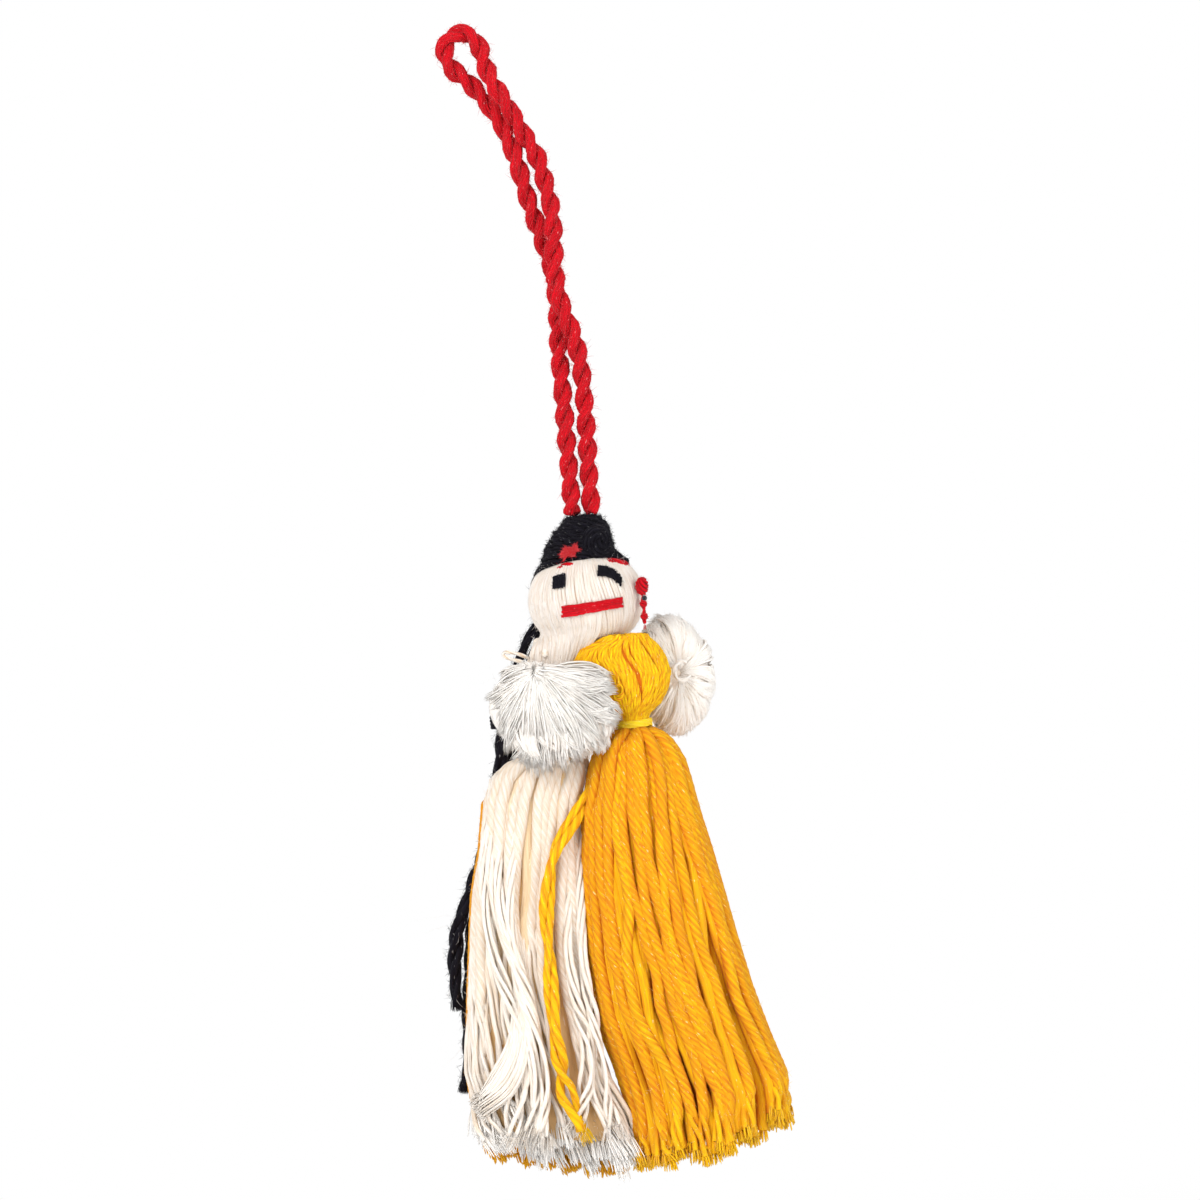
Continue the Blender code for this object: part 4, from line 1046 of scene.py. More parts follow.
# The cord's route in metres from the crown, as in the model's source, and the others in millimetres from it.
CORD_ROUTE: tuple[Point, ...] = (
    (0.0013, 0.0, 0.0062), (0.0014, 0.0, 0.0125), (0.0014, 0.0, 0.0164), (0.0013, -0.0004, 0.0211),
    (0.0006, -0.0012, 0.0263), (-0.0005, -0.0016, 0.0298), (-0.0013, -0.0017, 0.0329),
    (-0.0016, -0.0017, 0.0358), (-0.0016, -0.0017, 0.0386), (-0.0015, -0.0017, 0.0415),
    (-0.0014, -0.0013, 0.0448), (-0.0018, -0.0006, 0.0482), (-0.0030, -0.0002, 0.0537),
    (-0.0049, -0.0006, 0.0576), (-0.0070, -0.0013, 0.0620), (-0.0091, -0.0011, 0.0659),
    (-0.0100, -0.0004, 0.0688), (-0.0106, 0.0, 0.0713), (-0.0118, 0.0, 0.0729), (-0.0134, 0.0, 0.0734),
    (-0.0150, 0.0, 0.0727), (-0.0158, 0.0001, 0.0711), (-0.0156, 0.0004, 0.0694), (-0.0145, 0.0009, 0.0678),
    (-0.0125, 0.0013, 0.0660), (-0.0103, 0.0014, 0.0631), (-0.0088, 0.0012, 0.0608),
    (-0.0076, 0.0008, 0.0583), (-0.0064, 0.0002, 0.0545), (-0.0050, 0.0004, 0.0482),
    (-0.0034, 0.0012, 0.0424), (-0.0024, 0.0016, 0.0387), (-0.0018, 0.0017, 0.0358),
    (-0.0017, 0.0017, 0.0329), (-0.0017, 0.0016, 0.0299), (-0.0018, 0.0012, 0.0262),
    (-0.0018, 0.0004, 0.0211), (-0.0017, 0.0, 0.0164), (-0.0017, 0.0, 0.0125), (-0.0016, 0.0, 0.0062),
)
SHOULDER: tuple[Point, ...] = (
    (-8.6, -4.2, -22.3), (-10.3, -4.8, -21.4), (-12.1, -4.6, -20.8), (-13.3, -4.2, -20.2), (-13.1, -4.0, -19.7),
    (-12.0, -4.1, -19.8), (-10.6, -4.0, -20.3), (-9.4, -3.4, -21.0), (-8.4, -2.8, -22.3),
)
CORE_BUNDLE = Bundle(
    (
        (0.0, 1.75, 1.75, -0.7, 0.0), (0.12, 1.75, 1.75, -0.7, 0.1), (0.26, 2.3, 2.3, 0.0, 1.0),
        (0.45, 2.75, 2.75, 1.2, 2.2), (0.66, 2.75, 2.75, 1.6, 3.0), (0.85, 2.2, 2.2, 1.5, 3.2),
        (1.0, 1.5, 1.5, 1.4, 3.2),
    ),
    -19.3, 14.6, 0.2,
)
WHITE_BUNDLE = Bundle(
    (
        (0.0, 2.22, 2.48, -6.80, 1.0), (0.14, 2.92, 2.64, -7.05, 1.0), (0.37, 4.98, 2.80, -7.21, 1.0),
        (0.61, 5.19, 2.80, -8.02, 1.0), (0.81, 3.60, 2.68, -8.10, 1.0), (0.9, 2.60, 2.60, -8.10, 1.0),
        (1.0, 2.60, 2.60, -8.10, 1.0),
    ),
    -18.6, 17.1, 0.8,
)
YELLOW_BUNDLE = Bundle(
    (
        (0.0, 4.00, 2.10, 4.65, -4.90), (0.1, 6.05, 2.84, 3.95, -4.90), (0.22, 6.95, 3.30, 3.95, -4.90),
        (0.4, 6.40, 3.30, 5.17, -4.79), (0.58, 5.64, 3.20, 5.39, -4.44), (0.74, 4.22, 2.84, 5.50, -3.75),
        (0.86, 2.28, 2.24, 5.50, -2.95), (1.0, 2.20, 2.20, 5.50, -2.60),
    ),
    -18.7, 13.7, 0.65,
)
QUARTERS = (0.21, 0.58, 1)
WHITE_LEFT: tuple[Row, ...] = (
    (0.03, -16.7), (0.09, -18.1), (0.21, -19.1), (0.33, -20.7), (0.58, -22.5), (0.8, -24.0), (0.93, -23.5),
    (1.0, -21.8),
)
DIVIDE: tuple[Row, ...] = (
    (0.09, -3.2), (0.2, -4.5), (0.33, -4.8), (0.5, -5.1), (0.6, -5.2), (0.7, -4.6), (0.78, -3.3), (0.87, -1.5),
    (1.0, -0.4),
)
YELLOW_FALLS = (-0.020, -0.008, 0.004, 0.018, 0.035, 0.07, 0.12, 0.17, 0.31, 0.5, 0.64, 0.77, 0.88, 1)
LOOSE_PAIR: tuple[Row, ...] = (
    (-0.6, -38.6), (-2.4, -41.8), (-4.9, -45.6), (-7.3, -49.0), (-8.5, -52.5), (-9.5, -58.9), (-9.6, -65.0),
    (-9.7, -71.3), (-9.4, -78.3), (-8.7, -84.0), (-7.6, -88.0), (-6.6, -90.6),
)
CROSSING: tuple[tuple[Row, ...], ...] = (
    ((-15.4, -38.0), (-17.0, -45.0), (-17.4, -53.0), (-16.2, -61.0), (-14.2, -68.0), (-12.8, -76.0),
     (-12.2, -84.0), (-12.8, -91.0)),
    ((-13.9, -38.0), (-15.8, -47.0), (-16.4, -55.0), (-15.0, -63.0), (-13.4, -71.0), (-13.0, -80.0),
     (-14.4, -90.0)),
    ((-16.0, -38.6), (-17.9, -47.0), (-18.6, -56.0), (-17.6, -65.0), (-15.6, -73.0), (-15.0, -81.0),
     (-16.6, -91.0)),
    ((-11.4, -38.0), (-13.0, -46.0), (-14.6, -54.0), (-14.8, -63.0), (-14.0, -72.0), (-13.4, -82.0),
     (-12.0, -91.5)),
    ((-5.6, -46.0), (-6.2, -55.0), (-6.8, -64.0), (-6.2, -72.0), (-5.0, -78.0), (-5.4, -84.0), (-7.0, -90.0)),
    ((-4.0, -46.0), (-4.4, -56.0), (-4.6, -66.0), (-3.8, -76.0), (-3.4, -84.0), (-2.0, -91.0)),
)
SPOON: tuple[tuple[Row, ...], ...] = tuple(
    ((-14.6 + 0.4 * k, -62.0), (-14.8 + 0.5 * k, -70.0), (-16.0 + 0.8 * k, -77.0 - 0.3 * k),
     (-18.8 + 0.8 * k, -81.8 - 0.8 * k), (-22.2 + 0.7 * abs(k - 1.6), -85.2 - 0.9 * k))
    for k in (0.0, 0.5, 1.0, 1.5, 2.0, 2.5, 3.0)
)
LEFT_WISPS: tuple[Point, ...] = (
    (1.7, -9.0, -24.2), (2.5, -9.3, -24.8), (2.8, -9.5, -25.8), (2.8, -9.6, -26.9), (3.1, -9.6, -28.6),
    (3.3, -9.4, -30.2), (2.7, -9.2, -31.9), (1.2, -9.2, -33.6), (-0.3, -9.3, -35.0), (-1.8, -9.4, -36.2),
    (-3.6, -9.5, -37.0), (-5.4, -9.6, -37.6), (-7.2, -9.6, -37.8), (-9.0, -9.6, -37.6), (-10.8, -9.5, -37.0),
    (-12.2, -9.2, -35.8), (-13.4, -8.8, -34.2), (-14.5, -8.2, -32.2), (-15.2, -7.6, -29.8), (-15.3, -7.0, -27.2),
    (-14.8, -6.6, -24.8), (-13.4, -6.4, -23.0), (-11.0, -6.8, -22.2), (-7.6, -7.4, -22.6), (-3.6, -8.2, -23.4),
)
SHORT_TAIL: tuple[Point, ...] = (
    (-5.6, 5.2, 0.4), (-8.2, 5.9, -3.9), (-10.1, 6.6, -6.8), (-11.7, 7.3, -11.0), (-14.0, 8.6, -17.6),
    (-15.0, 9.6, -26.0), (-16.5, 9.8, -30.3), (-18.1, 9.8, -37.0), (-20.7, 9.8, -43.0), (-22.9, 9.8, -48.1),
    (-23.7, 9.8, -52.3), (-24.0, 9.8, -56.3), (-23.9, 9.8, -60.3),
)
LONG_TAIL: tuple[Point, ...] = (
    (-3.9, 6.4, 0.4), (-6.7, 8.1, -3.9), (-8.3, 8.9, -6.8), (-10.0, 9.6, -11.0), (-12.4, 10.9, -17.6),
    (-13.3, 11.9, -26.0), (-14.7, 12.1, -30.3), (-16.3, 12.1, -37.0), (-18.7, 12.1, -43.0), (-20.6, 12.0, -48.1),
    (-21.4, 11.9, -52.3), (-21.8, 11.7, -56.3), (-22.2, 11.5, -60.3), (-22.5, 11.3, -65.6), (-23.1, 11.2, -70.3),
    (-23.8, 11.1, -73.3),
)


# Parts of the doll


@dataclass(frozen=True)
class HangerCord:
    """The red cord of two plies, folded in two, with its eye at the top.

    Every yarn size is a share of the cord's diameter.
    """

    diameter: float = 0.0026
    length: float = 0.1552
    foot: float = 0.0003
    legs: tuple[float, float] = (0.0013, -0.0016)
    turns_per_metre: float = 133.0
    ply_spread: float = 0.265
    ply_core: float = 0.27
    thread_spread: float = 0.205
    thread: float = 0.098
    threads_per_ply: int = 10
    hairs: Stray = Stray(7600, 0.75 * MM, 1.2, 0.026 * MM)

    def build(self) -> None:
        low, high = self.foot, self.foot + self.diameter
        right, left = self.legs
        ends = [(right, 0, low), (right, 0, high)], [(left, 0, high), (left, 0, low)]
        route = np.array([*ends[0], *CORD_ROUTE, *ends[1]]) + CROWN
        paths = smooth(route[None], 420)
        rng = np.random.default_rng(3)
        run, twist = run_of(paths), turned(paths, self.turns_per_metre)
        uneven = 1 + 0.07 * np.sin(run * 2100) + 0.05 * np.sin(run * 3700 + 1)
        plies, away = plied(paths, FRONT, self.diameter * self.ply_spread * uneven, twist, 2)
        core = sweep(plies, away, self.diameter * self.ply_core)
        within = np.repeat(-0.7 * twist + 0.4 * np.sin(run * 900), 2, axis=0)
        threads, facing = plied(plies, away, self.diameter * self.thread_spread, within, self.threads_per_ply)
        threads += rng.normal(0, 0.03 * MM, threads.shape)
        tone = rng.random(len(threads))
        yarns = sweep(threads, facing, self.diameter * self.thread, FINE, tone=tone, shade=0.5)
        piece = set_piece("hanger_cord_yarn", [core, yarns], RED, "hanger", "hanger_cord")
        loose = self.hairs.grow(threads, facing, self.diameter * 0.08, rng)
        hair = set_piece("hanger_cord_hairs", [loose], RED.painted_shine(0.10), "hanger")
        line = smooth(route[None], 61)[0]
        dress_node("hanger_knot", RED)


@dataclass(frozen=True)
class Hair:
    """Black cap and crown of wound yarn, bun, hair combed down the back, and the red yarn at its edge."""

    yarn: float = 0.42 * MM
    cap: CapForm = CapForm()
    cap_winding: Winding = Winding(0.03, 0.97, 15.25, 72, -0.1 * MM, 0.012)
    cap_hairs: Stray = Stray(5600, 0.55 * MM, 1.3, 0.024 * MM)
    bun_radii: Point = (2.2, 2.1, 2.5)
    bun_pole: Point = (0.35, -0.93, 0.1)
    bun_winding: Winding = Winding(0.03, 0.62, 6.0, 48, -0.2 * MM)
    bun_hairs: Stray = Stray(900, 0.6 * MM, 1.3, 0.018 * MM)
    back_strands: int = 58
    back_falls: tuple[float, float] = (0.19, 0.60)
    back_hairs: Stray = Stray(2200, 0.7 * MM, 1.3, 0.02 * MM)
    tails_turn: float = math.radians(141)
    band_yarn: float = 0.58 * MM
    band_hairs: Stray = Stray(500, 0.5 * MM, 1.2, 0.018 * MM)
    bow_yarns: int = 30
    bow_yarn: float = 0.13 * MM
    bow_hairs: Stray = Stray(1500, 0.40 * MM, 1.5, 0.026 * MM)

    def build(self) -> None:
        """Winds the cap, coils the bun, combs the back and lays the red band and bow."""
        rng = np.random.default_rng(11)
        for step in (self.wind_cap, self.coil_bun, self.comb_back, self.lay_band, self.tie_bow):
            step(rng)

    def wind_cap(self, rng: np.random.Generator) -> None:
        """One yarn wound from the cord's foot down to the hairline over a closed skin."""
        path, out = self.cap_winding.on(self.cap)
        path = path + out * 0.12 * MM * np.sin(run_of(path)[..., None] * 900)
        falls = np.linspace(0.02, 1.0, 16)
        skin = shell(self.cap, falls, 40, (0.33 * ramp(falls, 0.6, 0.85) - 0.45)[:, None] * MM)
        yarn = twine(path, out, self.yarn, 260)
        set_piece("cap_winding", [skin, yarn], BLACK, "head", "hair_cap", "crown_binding")
        set_piece("cap_hairs", [self.cap_hairs.grow(path, out, self.yarn, rng)], BLACK, "head")

    def coil_bun(self, rng: np.random.Generator) -> None:
        """The bun: a yarn coiled about a pole that faces forwards and to the right."""
        centre, _ = span("hair_bun")
        form = Ball(centre + np.array((-0.8, 0.5, -0.3)) * MM, np.array(self.bun_radii) * MM, self.bun_pole)
        path, out = self.bun_winding.on(form)
        yarn = twine(path, out, self.yarn, 260)
        skin = shell(form, np.linspace(0.03, 0.9, 12), 28, -0.5 * MM)
        loose = self.bun_hairs.grow(path, out, self.yarn, rng)
        set_piece("bun_coil", [skin, yarn, loose], BLACK, "head", "hair_bun")

    def comb_back(self, rng: np.random.Generator) -> None:
        """Hair laid down the back of the head, drawn together towards the tails on the left."""
        count, (top, foot) = self.back_strands, self.back_falls
        start = np.linspace(0.42, math.pi - 0.42, count)[:, None] + rng.normal(0, 0.01, (count, 1))
        share = np.linspace(0, 1, 26)[None]
        turn = start + (self.tails_turn - start) * 0.62 * ramp(share, 0.15, 1.1)
        fall = top + (foot - top - 0.05 * np.abs(start - self.tails_turn) / 2) * share
        path, out = lay(HEAD_BALL, fall, turn, 0.55 * MM + rng.uniform(-0.1, 0.1, (count, 1)) * MM)
        yarn = sweep(path, out, self.yarn, TWO_PLY, turned(path, 220) + rng.uniform(0, TAU, (count, 1)))
        loose = self.back_hairs.grow(path, out, self.yarn, rng)
        set_piece("back_hair_strands", [yarn, loose], BLACK, "head", "hair_back")

    def lay_band(self, rng: np.random.Generator) -> None:
        """Red yarn round the head just under the cap's rim, lost under the hair in the middle of the brow."""
        turn = np.linspace(0, TAU, 260)[None]
        brow = np.exp(-(((np.degrees(turn) - 241) / 13) ** 4))
        side = ramp(np.degrees(turn), 300, 312) * (1 - ramp(np.degrees(turn), 338, 352))
        shown = np.maximum(brow, side)
        path, out = lay(self.cap, np.ones_like(turn), turn)
        path = path - np.array((-0.2, 0.0, 0.80)) * MM + out * (shown[..., None] * 0.70 - 0.60) * MM
        yarn = twine(path, out, self.band_yarn, 200)
        loose = self.band_hairs.grow(path, out, 0.45 * MM, rng)
        set_piece("band_yarn", [yarn, loose], RED, "head", "hair_band")

    def tie_bow(self, rng: np.random.Generator) -> None:
        """A small red tuft at the brow: short loops side by side, with cut hairs at its right end."""
        centre, _ = span("hair_bow")
        size = (self.bow_yarns, 1, 1)
        share = np.linspace(-1, 1, 12)[None, :, None]
        row = rng.uniform(-1, 1, size)
        lean = np.clip(rng.normal(0, 0.2, size), -0.3, 0.3)
        x = share * (1.35 - 0.50 * np.abs(row)) * rng.uniform(0.75, 1.1, size) + 0.25 * row
        z = row * 0.62 + 0.30 * share + lean * share + 0.15 * np.sin(share * 3 + row * 5)
        y = -0.30 * (1 - share**2) - 0.25 * (1 - row**2) + 0.10 * x
        step = np.concatenate(np.broadcast_arrays(x, y, z), axis=-1)
        path = centre + np.array((0.1, 0.55, -0.1)) * MM + step * MM
        out = np.array((0.0, -1.0, 0.15))
        yarn = sweep(path, out, self.bow_yarn, tone=rng.random(self.bow_yarns), shade=0.6)
        loose = self.bow_hairs.grow(path, out, self.bow_yarn, rng)
        # The bow's yarn is painted a little paler and without painted shade in its grooves.
        set_piece("bow_tuft", [yarn, loose], RED.painted_shine(0.06), "head", "hair_bow")


@dataclass(frozen=True)
class Head:
    """The ball of the head, wound with fine white thread, its stitched face, and the yarn down to the neck."""

    threads: int = 104
    thread: float = 0.285 * MM
    hairs: Stray = Stray(1500, 0.9 * MM, 1.2, 0.014 * MM)
    tilt: float = math.radians(5.5)
    mouth_half: float = 4.55
    neck_threads: int = 64
    neck_thread: float = 0.29 * MM
    neck_hairs: Stray = Stray(520, 0.9 * MM, 1.5, 0.02 * MM)

    def build(self) -> None:
        """Winds the head, stitches the face and lays the neck's yarn."""
        rng = np.random.default_rng(23)
        for step in (self.wind, self.stitch_eyes, self.stitch_mouth, self.lay_neck):
            step(rng)
        dress_node("head_core", WHITE)

    def wind(self, rng: np.random.Generator) -> None:
        """Threads laid from the cap to the neck side by side, slanting to the right below the right eye."""
        form = Ball(HEAD, HEAD_RADII - 0.30 * MM)
        share = np.linspace(0, 1, 32)[None]
        start = strand_turns(self.threads, 0.003, rng)
        right = np.clip(np.cos(start - math.radians(-62)), 0, 1) ** 1.5
        slant = 0.34 * right * ramp(share, 0.20, 1.0)
        bend = 0.006 * wave(share, 0.8, 2.2, rng, start.shape)
        lift = rng.uniform(-0.05, 0.05, start.shape) * MM
        path, out = lay(form, 0.15 + 0.79 * share, start + slant + bend, lift)
        yarn = sweep(path, out, self.thread, tone=rng.random(self.threads), shade=0.9)
        skin = shell(form, np.linspace(0.02, 0.97, 28), 48, -0.02 * MM)
        set_piece("head_winding", [skin, yarn], SILK, "head", "head_cover")
        set_piece("head_hairs", [self.hairs.grow(path, out, self.thread, rng)], FLUFF, "head")

    def stitch(
        self, node: str, finish: YarnFinish, x: Array, z: Array, yarn: float, rng: np.random.Generator
    ) -> None:
        """Threads side by side on the front of the head.

        Args:
            node: The model's stitch that they stand for.
            finish: Their yarn.
            x: Sides of each thread's points in millimetres from the head's centre.
            z: Their heights.
            yarn: Radius of a thread.
            rng: Source of random numbers.
        """
        radii = HEAD_RADII + 0.25 * MM
        deep = np.sqrt(np.clip(1 - (x * MM / radii[0]) ** 2 - (z * MM / radii[2]) ** 2, 0.01, 1))
        place = np.stack(np.broadcast_arrays(x * MM, -radii[1] * deep, z * MM), axis=-1)
        path, out = HEAD + place, unit(place / radii**2)
        path = path + rng.normal(0, 0.02 * MM, path.shape)
        yarns = sweep(path, out, yarn, tone=rng.random(len(path)), shade=0.7)
        loose = Stray(45 * len(path), 0.35 * MM, 1.2, 0.02 * MM).grow(path, out, yarn, rng)
        set_piece(f"{node}_stitch", [yarns, loose], finish, "head", node)

    def stitch_eyes(self, rng: np.random.Generator) -> None:
        """Two black satin stitches: a leaning square on the left and a drooping arc on the right."""
        t = np.linspace(-1, 1, 12)[None]
        row = np.linspace(-1, 1, 8)[:, None]
        ragged = 1 + rng.normal(0, 0.05, row.shape)
        z = 2.98 + 0.13 * row + t * ragged * (0.95 + 0.04 * row)
        self.stitch("left_eye", BLACK, -3.85 + row * 0.78 + 0.10 * t, z, 0.18 * MM, rng)
        row = np.linspace(0, 1, 14)[:, None]
        ragged = rng.normal(0, 0.05, row.shape)
        top = 4.85 - 0.15 * row - 1.65 * row**2.4 + ragged
        low = 3.35 + 0.45 * row - 2.00 * row**2.2 + ragged
        z = (top + low) / 2 + t * (top - low) / 2
        self.stitch("right_eye", BLACK, 2.15 + 3.15 * row + 0.10 * t, z, 0.17 * MM, rng)

    def stitch_mouth(self, rng: np.random.Generator) -> None:
        """A flat red stitch of long threads, rising to the right."""
        t = np.linspace(-1, 1, 40)[None]
        row = np.linspace(-1, 1, 5)[:, None]
        high = row * (0.68 - 0.10 * ramp(t, -0.9, 0.4))
        x = 0.80 + self.mouth_half * t * (1 + rng.normal(0, 0.02, row.shape)) + 0.04 * row
        rise = -1.20 + math.tan(self.tilt) * self.mouth_half * t
        z = rise + high + 0.03 * np.sin(9 * t + 3 * row) + 0.05 * t**2
        self.stitch("mouth", RED, x, z, 0.22 * MM, rng)

    def lay_neck(self, rng: np.random.Generator) -> None:
        """White yarn that leaves the lower left of the head and runs down into the left bundle."""
        count = self.neck_threads
        row = np.linspace(0, 1, count)[:, None] + rng.normal(0, 0.012, (count, 1))
        turn = math.radians(-178) + row * math.radians(104)
        start = 0.50 + rng.uniform(-0.07, 0.05, turn.shape)
        high, _ = lay(HEAD_BALL, start, turn, -0.75 * MM)
        shoulder, _ = lay(HEAD_BALL, start + 0.09, turn - 0.01, -0.22 * MM)
        low, _ = lay(HEAD_BALL, np.maximum(start + 0.17, 0.71), turn - 0.03, 0.05 * MM)
        arch = np.sin(row * 3.1)
        aim = from_crown(np.concatenate([-8.9 + 8.2 * row, -4.6 - 0.9 * arch, -19.9 - 0.4 * row], axis=1))
        foot = from_crown(np.concatenate([-9.0 + 6.6 * row, -2.4 - 1.9 * arch, -23.6 + 0 * row], axis=1))
        aim += rng.normal(0, 0.14 * MM, aim.shape)
        path = smooth(np.stack([high[:, 0], shoulder[:, 0], low[:, 0], aim, foot], axis=1), 26)
        out = unit(path - (HEAD - np.array((0.0, -2.0, 6.0)) * MM))
        yarn = sweep(path, out, self.neck_thread, tone=rng.random(count), shade=0.8)
        loose = self.neck_hairs.grow(path, out, 0.3 * MM, rng)
        piece = set_piece("neck_threads", [yarn, loose], SILK, "")
        start, end = HEAD + np.array((0, 0, -4.5)) * MM, HEAD + np.array((0, 0, -10.5)) * MM
        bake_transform(piece)


@dataclass(frozen=True)
class EarOrnament:
    """A red knot at the right ear with a short thread of two beads."""

    yarn: float = 0.30 * MM
    knot_pole: Point = (0.5, -0.3, 0.8)
    knot: Winding = Winding(0.06, 0.94, 5, 26, 0.0, 0.05)
    knot_hairs: Stray = Stray(160, 0.4 * MM, 1.2, 0.018 * MM)
    bead: Winding = Winding(0.10, 0.90, 4, 22, -0.12 * MM, 0.06)
    bead_share: Point = (0.62, 0.62, 0.85)
    bead_hairs: Stray = Stray(60, 0.3 * MM, 1.2, 0.018 * MM)
    slate_radius: float = 0.42 * MM

    def build(self) -> None:
        """Winds the knot, twists the thread and winds the beads."""
        rng = np.random.default_rng(31)
        centre, radii = span("ear_knot")
        form = Ball(centre, radii - 0.25 * MM, self.knot_pole)
        path, out = self.knot.on(form)
        skin = shell(form, np.linspace(0.04, 0.96, 9), 14, -0.1 * MM)
        parts = [skin, twine(path, out, self.yarn, 300), self.knot_hairs.grow(path, out, self.yarn, rng)]
        set_piece("ear_knot_winding", parts, RED, "head", "ear_knot")
        self.twist_thread(rng)
        for node in ("ear_bead_upper", "ear_bead_lower"):
            centre, radii = span(node)
            form = Ball(centre, radii * np.array(self.bead_share))
            path, out = self.bead.on(form)
            skin = shell(form, np.linspace(0.06, 0.94, 9), 16, -0.15 * MM)
            parts = [skin, twine(path, out, 0.20 * MM, 400), self.bead_hairs.grow(path, out, 0.15 * MM, rng)]
            set_piece(f"{node}_wrap", parts, RED, "ear_ornament", node)
        centre, _ = span("ear_bead_upper")
        spot = Ball(centre + np.array((0.2, -0.1, 0.85)) * MM, np.full(3, self.slate_radius))
        set_piece("ear_slate_knot", [shell(spot, np.linspace(0.05, 0.95, 8), 12)], SLATE, "ear_ornament")

    def twist_thread(self, rng: np.random.Generator) -> None:
        """The thread that hangs from the knot, frayed at its foot."""
        low, high = (np.array(corner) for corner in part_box("ear_thread"))
        x, y = (low[:2] + high[:2]) / 2
        z = np.linspace(high[2] + 0.25 * MM, low[2], 60)
        path = np.stack([x + 0.05 * MM * np.sin(z * 2600), np.full_like(z, y), z], axis=1)[None]
        tail = Brush(10, 0.9 * MM, 0.3 * MM, 0.03 * MM).spread(path[:, -1], np.array([[0.0, 0.0, -1.0]]), rng)
        thread = twine(path, FRONT, self.yarn, 480)
        set_piece("ear_thread_yarn", [thread, tail], RED, "ear_ornament", "ear_thread")


@dataclass(frozen=True)
class YarnBundle:
    """Yarns side by side over a bundle's form, at a slant, folded over its top and gathered in its tie."""

    node: str
    form: Bundle
    finish: YarnFinish
    count: int
    yarn: float
    slant: float
    hairs: Stray = Stray(520, 0.8 * MM, 1.4, 0.02 * MM)

    def build(self, name: str, rng: np.random.Generator) -> None:
        """Lays the yarns over a closed skin, clear of the head."""
        share = np.linspace(0, 1, 34)[None]
        start = strand_turns(self.count, 0.03, rng)
        bend = 0.03 * wave(share, 0.6, 1.6, rng, start.shape)
        sink = -self.yarn * (1 + 0.9 * rng.random(start.shape) * (1 - 0.6 * ramp(share, 0.1, 0.3)))
        path, out = lay(self.form, -0.13 + 1.11 * share, start - self.slant * (1 - share) + bend, sink)
        path = clear_of_head(path, self.yarn + 0.15 * MM)
        twist = turned(path, 130) + rng.uniform(0, TAU, start.shape)
        tone = rng.random(self.count)
        yarns = sweep(path, out, self.yarn * 1.10, THREE_PLY, 1.6 * twist, tone=tone, shade=0.7)
        skin = shell(self.form, np.linspace(-0.1, 1.0, 20), 32, -1.5 * self.yarn)
        skin.points = clear_of_head(skin.points, 0.05 * MM)
        loose = self.hairs.grow(path, out, self.yarn, rng)
        set_piece(name, [skin, yarns, loose], self.finish, "torso", self.node)


@dataclass(frozen=True)
class Tie:
    """Turns of yarn pulled tight round a place in millimetres from the crown, each a little off level."""

    node: str
    place: Point
    radius: float
    turns: float
    yarn: float
    finish: YarnFinish
    hairs: Stray = Stray(160, 0.6 * MM, 1.4, 0.016 * MM)

    def build(self, name: str, rng: np.random.Generator) -> None:
        """Winds the tie from the foot of its model piece to its top."""
        turn = np.linspace(0, TAU * self.turns, int(54 * self.turns))
        centre, (_, _, half) = from_crown(self.place), span(self.node)[1]
        height = max(2 * half - 2 * self.yarn, 0.0)
        z = (turn / (TAU * self.turns) - 0.5) * height + 0.12 * MM * np.sin(turn + 0.8)
        path = (centre + np.stack([self.radius * np.cos(turn), self.radius * np.sin(turn), z], axis=1))[None]
        out = unit((path - centre) * np.array((1, 1, 0)))
        loose = self.hairs.grow(path, out, self.yarn, rng)
        set_piece(name, [twine(path, out, self.yarn, 240), loose], self.finish, "torso", self.node)


@dataclass(frozen=True)
class Body:
    """The core with its neck, the white and yellow bundles of yarn, and the yarn that ties them."""

    def build(self) -> None:
        """Lays the core, both bundles, the curl, the shoulder's loop and the ties."""
        rng = np.random.default_rng(41)
        for name, bundle in (
            ("core_strands", YarnBundle("torso_core", CORE_BUNDLE, WHITE, 26, 0.42 * MM, 0.3)),
            ("white_bodice_strands", YarnBundle("white_bodice", WHITE_BUNDLE, WHITE, 36, 0.50 * MM, 0.12)),
            ("yellow_bodice_strands", YarnBundle("yellow_bodice", YELLOW_BUNDLE, LEMON, 74, 0.34 * MM, 0.42)),
        ):
            bundle.build(name, rng)
        self.lay_curl()
        path = smooth(from_crown(SHOULDER)[None], 60)
        set_piece("shoulder_loop", [twine(path, FRONT, 0.30 * MM, 260)], WHITE, "torso")
        waist, place = LEMON.painted_shine(0.10), (5.5, -2.6, -31.7)
        for name, tie in (
            ("neck_tie_yarn", Tie("neck_tie", (-0.7, 0.0, -21.0), 2.6 * MM, 2.0, 0.40 * MM, WHITE)),
            ("white_waist_yarn", Tie("white_waist_tie", (-8.1, 1.0, -34.3), 3.1 * MM, 3.0, 0.42 * MM, WHITE)),
            ("yellow_waist_yarn", Tie("yellow_waist_tie", place, 2.45 * MM, 4.0, 0.25 * MM, waist)),
        ):
            tie.build(name, rng)

    def lay_curl(self) -> None:
        """A short curl of yellow yarn at the left of its bundle."""
        turn = np.linspace(-0.4, 1.35 * TAU, 46)
        radius = 0.95 - 0.05 * turn / TAU
        x, z = 3.3 + radius * 0.8 * np.sin(turn), -26.3 - radius * np.cos(turn) - 0.10 * turn
        y = -7.75 - 0.20 * np.sin(turn / 2) + 0.30 * np.abs(x - 3.3)
        path = from_crown(np.stack([x, y, z], axis=1))[None]
        set_piece("yellow_curl", [twine(path, FRONT, 0.23 * MM, 300)], LEMON, "torso")


